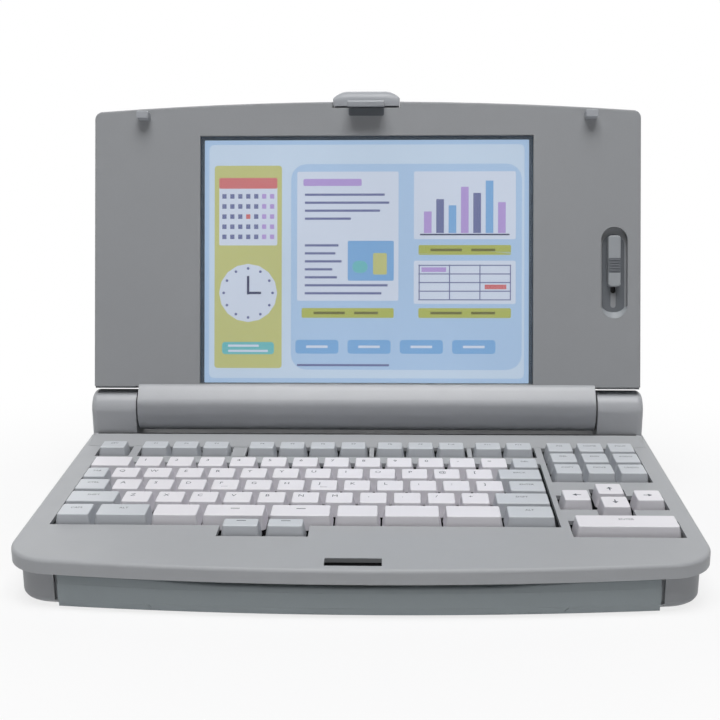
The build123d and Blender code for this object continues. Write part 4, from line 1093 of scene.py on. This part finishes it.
def key_legends():
    """Letters and words printed on the keys, and plain marks on the rest."""
    for node_name, words in KEY_WORDS.items():
        bm = bmesh.new()
        for (x, v), word in zip(key_spots(node_name), words):
            tall = LETTER_TALL if len(word) == 1 else WORD_TALL
            shift = -2.6 if len(word) == 1 else 0.0
            if word:
                lettering(bm, word, tall, on_key(x + shift, v + 1.9))
        legend(node_name, bm)
    for node_name, turn in ARROWS.items():
        bm = bmesh.new()
        (x, v), = key_spots(node_name)
        place = on_key(x, v) @ Matrix.Rotation(math.radians(turn), 4, "Z")
        head = [(2.2, 0), (-0.2, 1.7), (-0.2, -1.7)]
        slab(bm, head, -PRINT_THICK, PRINT_THICK, place)
        slab(bm, box_outline(2.6, 0.7), -PRINT_THICK, PRINT_THICK, shifted(place, -1.5, 0))
        legend(node_name, bm)
    for node_name in PLAIN_BARS:
        bm = bmesh.new()
        (x, v), = key_spots(node_name)
        slab(bm, box_outline(5, 0.8), -PRINT_THICK, PRINT_THICK, on_key(x, v + 2))
        legend(node_name, bm)
    bm = bmesh.new()
    for index in (4, 7):
        x, v = key_spots("home_row_keys")[index]
        slab(bm, box_outline(4.2, 0.9, 0.4), -0.1, 0.45, on_key(x, v - 3.6))
    piece("homing_bars", bm, white_caps, "home_row_keys_body", bevel=0.15)


key_legends()


# Sides, back, top and bottom
SIDE_X = 177.0
SWITCH_Y = 100
SWITCH_Z = 20
VENT_Y = 10
VENT_Z = 14
BACK_PANEL_WIDE = 318
COVER_TOP = 51.5
PAPER_Y = 118
SCALE_START = -105
CASE_FLOOR = 2.0


def on_side(sign, y, z, x=SIDE_X):
    """A place on a side wall: its local Z stands out of the case."""
    columns = Matrix(((0, sign, 0), (0, 0, 1), (sign, 0, 0))).transposed()
    return Matrix.Translation(Vector((sign * x, y, z)) * MM) @ columns.to_4x4()


def side_details():
    """The plate of the power switch, the left vents, and the disk slot's frame and lamp."""
    bm = bmesh.new()
    place = on_side(-1, SWITCH_Y, SWITCH_Z)
    rim(bm, box_outline(42, 12, 2), box_outline(14.6, 6.8, 1), -0.3, 0.6, place)
    piece("switch_plate", bm, tub_skin, "base", bevel=0.2)
    bm = bmesh.new()
    for writing, shift in (("OFF", -14), ("ON", 14)):
        lettering(bm, writing, 2.2, on_side(-1, SWITCH_Y - shift, SWITCH_Z, SIDE_X + 0.6))
    piece("switch_marks", bm, legend_ink, "base")
    bm = bmesh.new()
    slab(bm, box_outline(71, 8), -0.2, 0.1, on_side(-1, VENT_Y, VENT_Z))
    piece("vent_backing", bm, black_plastic, "base")
    bm = bmesh.new()
    place = on_side(-1, VENT_Y, VENT_Z)
    rim(bm, box_outline(75, 12, 2), box_outline(71, 8, 0.5), -0.2, 0.8, place)
    for bar in range(17):
        slab(bm, box_outline(2.1, 8.4), 0.0, 0.8, on_side(-1, VENT_Y + (bar - 8) * 4.2, VENT_Z))
    piece("vent_bars", bm, tub_skin, "base")
    bm = bmesh.new()
    place = on_side(1, -5, 14.4)
    rim(bm, box_outline(97.4, 7.4, 1.5), box_outline(93.6, 5.4, 0.5), -0.3, 0.7, place)
    piece("disk_slot_frame", bm, tub_skin, "base", bevel=0.2)
    bm = bmesh.new()
    slab(bm, box_outline(3.4, 1.6, 0.7), -0.3, 0.5, on_side(1, 16, 8.4))
    piece("disk_lamp", bm, green_glow, "base")


def back_details():
    """A raised panel and flutes on the lid's back."""
    behind = Matrix.Rotation(math.pi, 4, "Y")
    bm = bmesh.new()
    place = on_lid(0, 106, BACK_D) @ behind
    slab(bm, box_outline(BACK_PANEL_WIDE, 150, 12), -0.4, 0.8, place)
    piece("lid_back_panel", bm, lid_skin, "lid", bevel=0.5)
    bm = bmesh.new()
    for line in range(4):
        place = on_lid(0, 18.0 + 3.2 * line, BACK_D) @ behind
        slab(bm, box_outline(BACK_PANEL_WIDE - 8 * line, 1.4, 0.6), -0.4, 0.7, place)
    piece("lid_back_flutes", bm, lid_skin, "lid")


def cover_details():
    """Grip ribs, paper guides and a paper scale on the printer cover."""
    flat = Matrix.Translation((0, 0, COVER_TOP * MM))
    bm = bmesh.new()
    for line in range(4):
        slab(bm, box_outline(46, 1.1, 0.5), -0.3, 0.6, shifted(flat, 0, 90.5 + 2.2 * line))
    piece("cover_grip", bm, deck_skin, "cover")
    bm = bmesh.new()
    for sign in (-1, 1):
        place = shifted(flat, sign * 117.5, PAPER_Y)
        slab(bm, box_outline(6, 15, 1.5), -0.3, 0.9, place)
        for line in range(3):
            slab(bm, box_outline(0.8, 11, 0.3), 0.0, 1.2, shifted(place, (line - 1) * 1.7, 0))
    piece("paper_guides", bm, slate_plastic, "cover")
    bm = bmesh.new()
    for mark in range(43):
        tall = 3.0 if mark % 10 == 0 else 1.8 if mark % 2 == 0 else 1.1
        place = shifted(flat, mark * 5 + SCALE_START, 110.2 - tall / 2)
        slab(bm, box_outline(0.35, tall), -PRINT_THICK, PRINT_THICK, place)
    for mark in range(5):
        lettering(bm, str(mark * 5), 1.8, shifted(flat, mark * 50 + SCALE_START, 105.2))
    piece("paper_scale", bm, legend_ink, "cover")


def bottom_details():
    """A bare raised plate and stiffening ribs under the case."""
    under = Matrix.Translation((0, 0, CASE_FLOOR * MM)) @ Matrix.Rotation(math.pi, 4, "Y")
    bm = bmesh.new()
    slab(bm, box_outline(96, 54, 3), -0.4, 0.5, shifted(under, -70, 20))
    piece("bottom_plate", bm, tub_skin, "base", bevel=0.2)
    bm = bmesh.new()
    for line in range(12):
        slab(bm, box_outline(120, 2.2, 1), -0.4, 0.7, shifted(under, 70, line * 7 - 50))
    piece("bottom_ribs", bm, tub_skin, "base")


side_details()
back_details()
cover_details()
bottom_details()


# Floor, backdrop and lamps: each lamp's place, target, size and power
WORLD_LEVEL = 0.03
LAMPS = (
    ("top_softbox", (0.02, -0.7, 2.3), (0, 0.0, 0.05), (1.5, 1.2), 50.0),
    ("front_softbox", (0.1, -1.2, 0.8), (0, 0.05, 0.1), (1.2, 0.8), 0.3),
    ("back_softbox", (-0.3, 1.4, 1.0), (0, 0, 0.1), (1.4, 0.9), 3.0),
)


def seen_rays(tree):
    """One for the rays that show a thing: straight, in gloss or through glass."""
    rays = add(tree, "LightPath")
    plain = math_node(tree, "MAXIMUM", rays.outputs["Is Camera Ray"], rays.outputs["Is Glossy Ray"])
    return math_node(tree, "MAXIMUM", plain, rays.outputs["Is Transmission Ray"])


def studio():
    """A white floor that keeps the object's shadow, and soft lamps."""
    bm = bmesh.new()
    slab(bm, box_outline(8000, 8000, 500, steps=6), -20, -0.2)
    mesh = bpy.data.meshes.new("studio_floor")
    bm.to_mesh(mesh)
    bm.free()
    floor = bpy.data.objects.new("studio_floor", mesh)
    bpy.context.scene.collection.objects.link(floor)
    paper = bpy.data.materials.new("studio_paper")
    paper.use_nodes = True
    tree = paper.node_tree
    tree.nodes.clear()
    leave = add(tree, "OutputMaterial")
    matt = add(tree, "BsdfDiffuse", {"Color": (0.86, 0.86, 0.87, 1)})
    white = add(tree, "Emission", {"Color": (1, 1, 1, 1), "Strength": 1.0})
    spot = add(tree, "TexCoord").outputs["Object"]
    away = add(tree, "VectorMath", {0: spot}, operation="LENGTH").outputs["Value"]
    fade = add(
        tree,
        "MapRange",
        {"Value": away, "From Min": 0.16, "From Max": 0.5, "To Min": 0.8},
        interpolation_type="SMOOTHSTEP",
    )
    share = math_node(tree, "MULTIPLY", fade.outputs[0], seen_rays(tree))
    mixed = add(tree, "MixShader", {0: share, 1: matt.outputs[0], 2: white.outputs[0]})
    wire(tree, leave, {"Surface": mixed.outputs[0]})
    mesh.materials.append(paper)

    world = bpy.data.worlds.new("studio_world")
    bpy.context.scene.world = world
    world.use_nodes = True
    tree = world.node_tree
    back = tree.nodes["Background"]
    leave = tree.nodes["World Output"]
    wire(tree, back, {"Color": (0.95, 0.97, 1.0, 1), "Strength": WORLD_LEVEL})
    white = add(tree, "Background", {"Color": (1, 1, 1, 1), "Strength": 1.0})
    mixed = add(tree, "MixShader", {0: seen_rays(tree), 1: back.outputs[0], 2: white.outputs[0]})
    wire(tree, leave, {"Surface": mixed.outputs[0]})

    for name, place, target, size, power in LAMPS:
        light = bpy.data.lights.new(name, "AREA")
        light.shape = "RECTANGLE"
        light.size, light.size_y = size
        light.energy = power
        lamp = bpy.data.objects.new(name, light)
        bpy.context.scene.collection.objects.link(lamp)
        lamp.location = place
        lamp.rotation_euler = (Vector(target) - Vector(place)).to_track_quat("-Z", "Y").to_euler()


studio()


def photo_camera():
    """The camera of the photograph."""
    data = bpy.data.cameras.new("photo_camera")
    data.lens = LENS
    data.sensor_width = SENSOR
    data.clip_start = 0.02
    data.clip_end = 40.0
    camera = bpy.data.objects.new("photo_camera", data)
    bpy.context.scene.collection.objects.link(camera)
    turn = Matrix.Rotation(CAMERA_LEFT, 4, "Z") @ Matrix.Rotation(math.pi / 2 - CAMERA_DOWN, 4, "X")
    turn = turn @ Matrix.Rotation(CAMERA_ROLL, 4, "Z")
    camera.matrix_world = on_deck(0, 0) @ Matrix.Translation(CAMERA_PLACE) @ turn
    bpy.context.scene.camera = camera


photo_camera()
bpy.context.scene.view_settings.view_transform = "Standard"
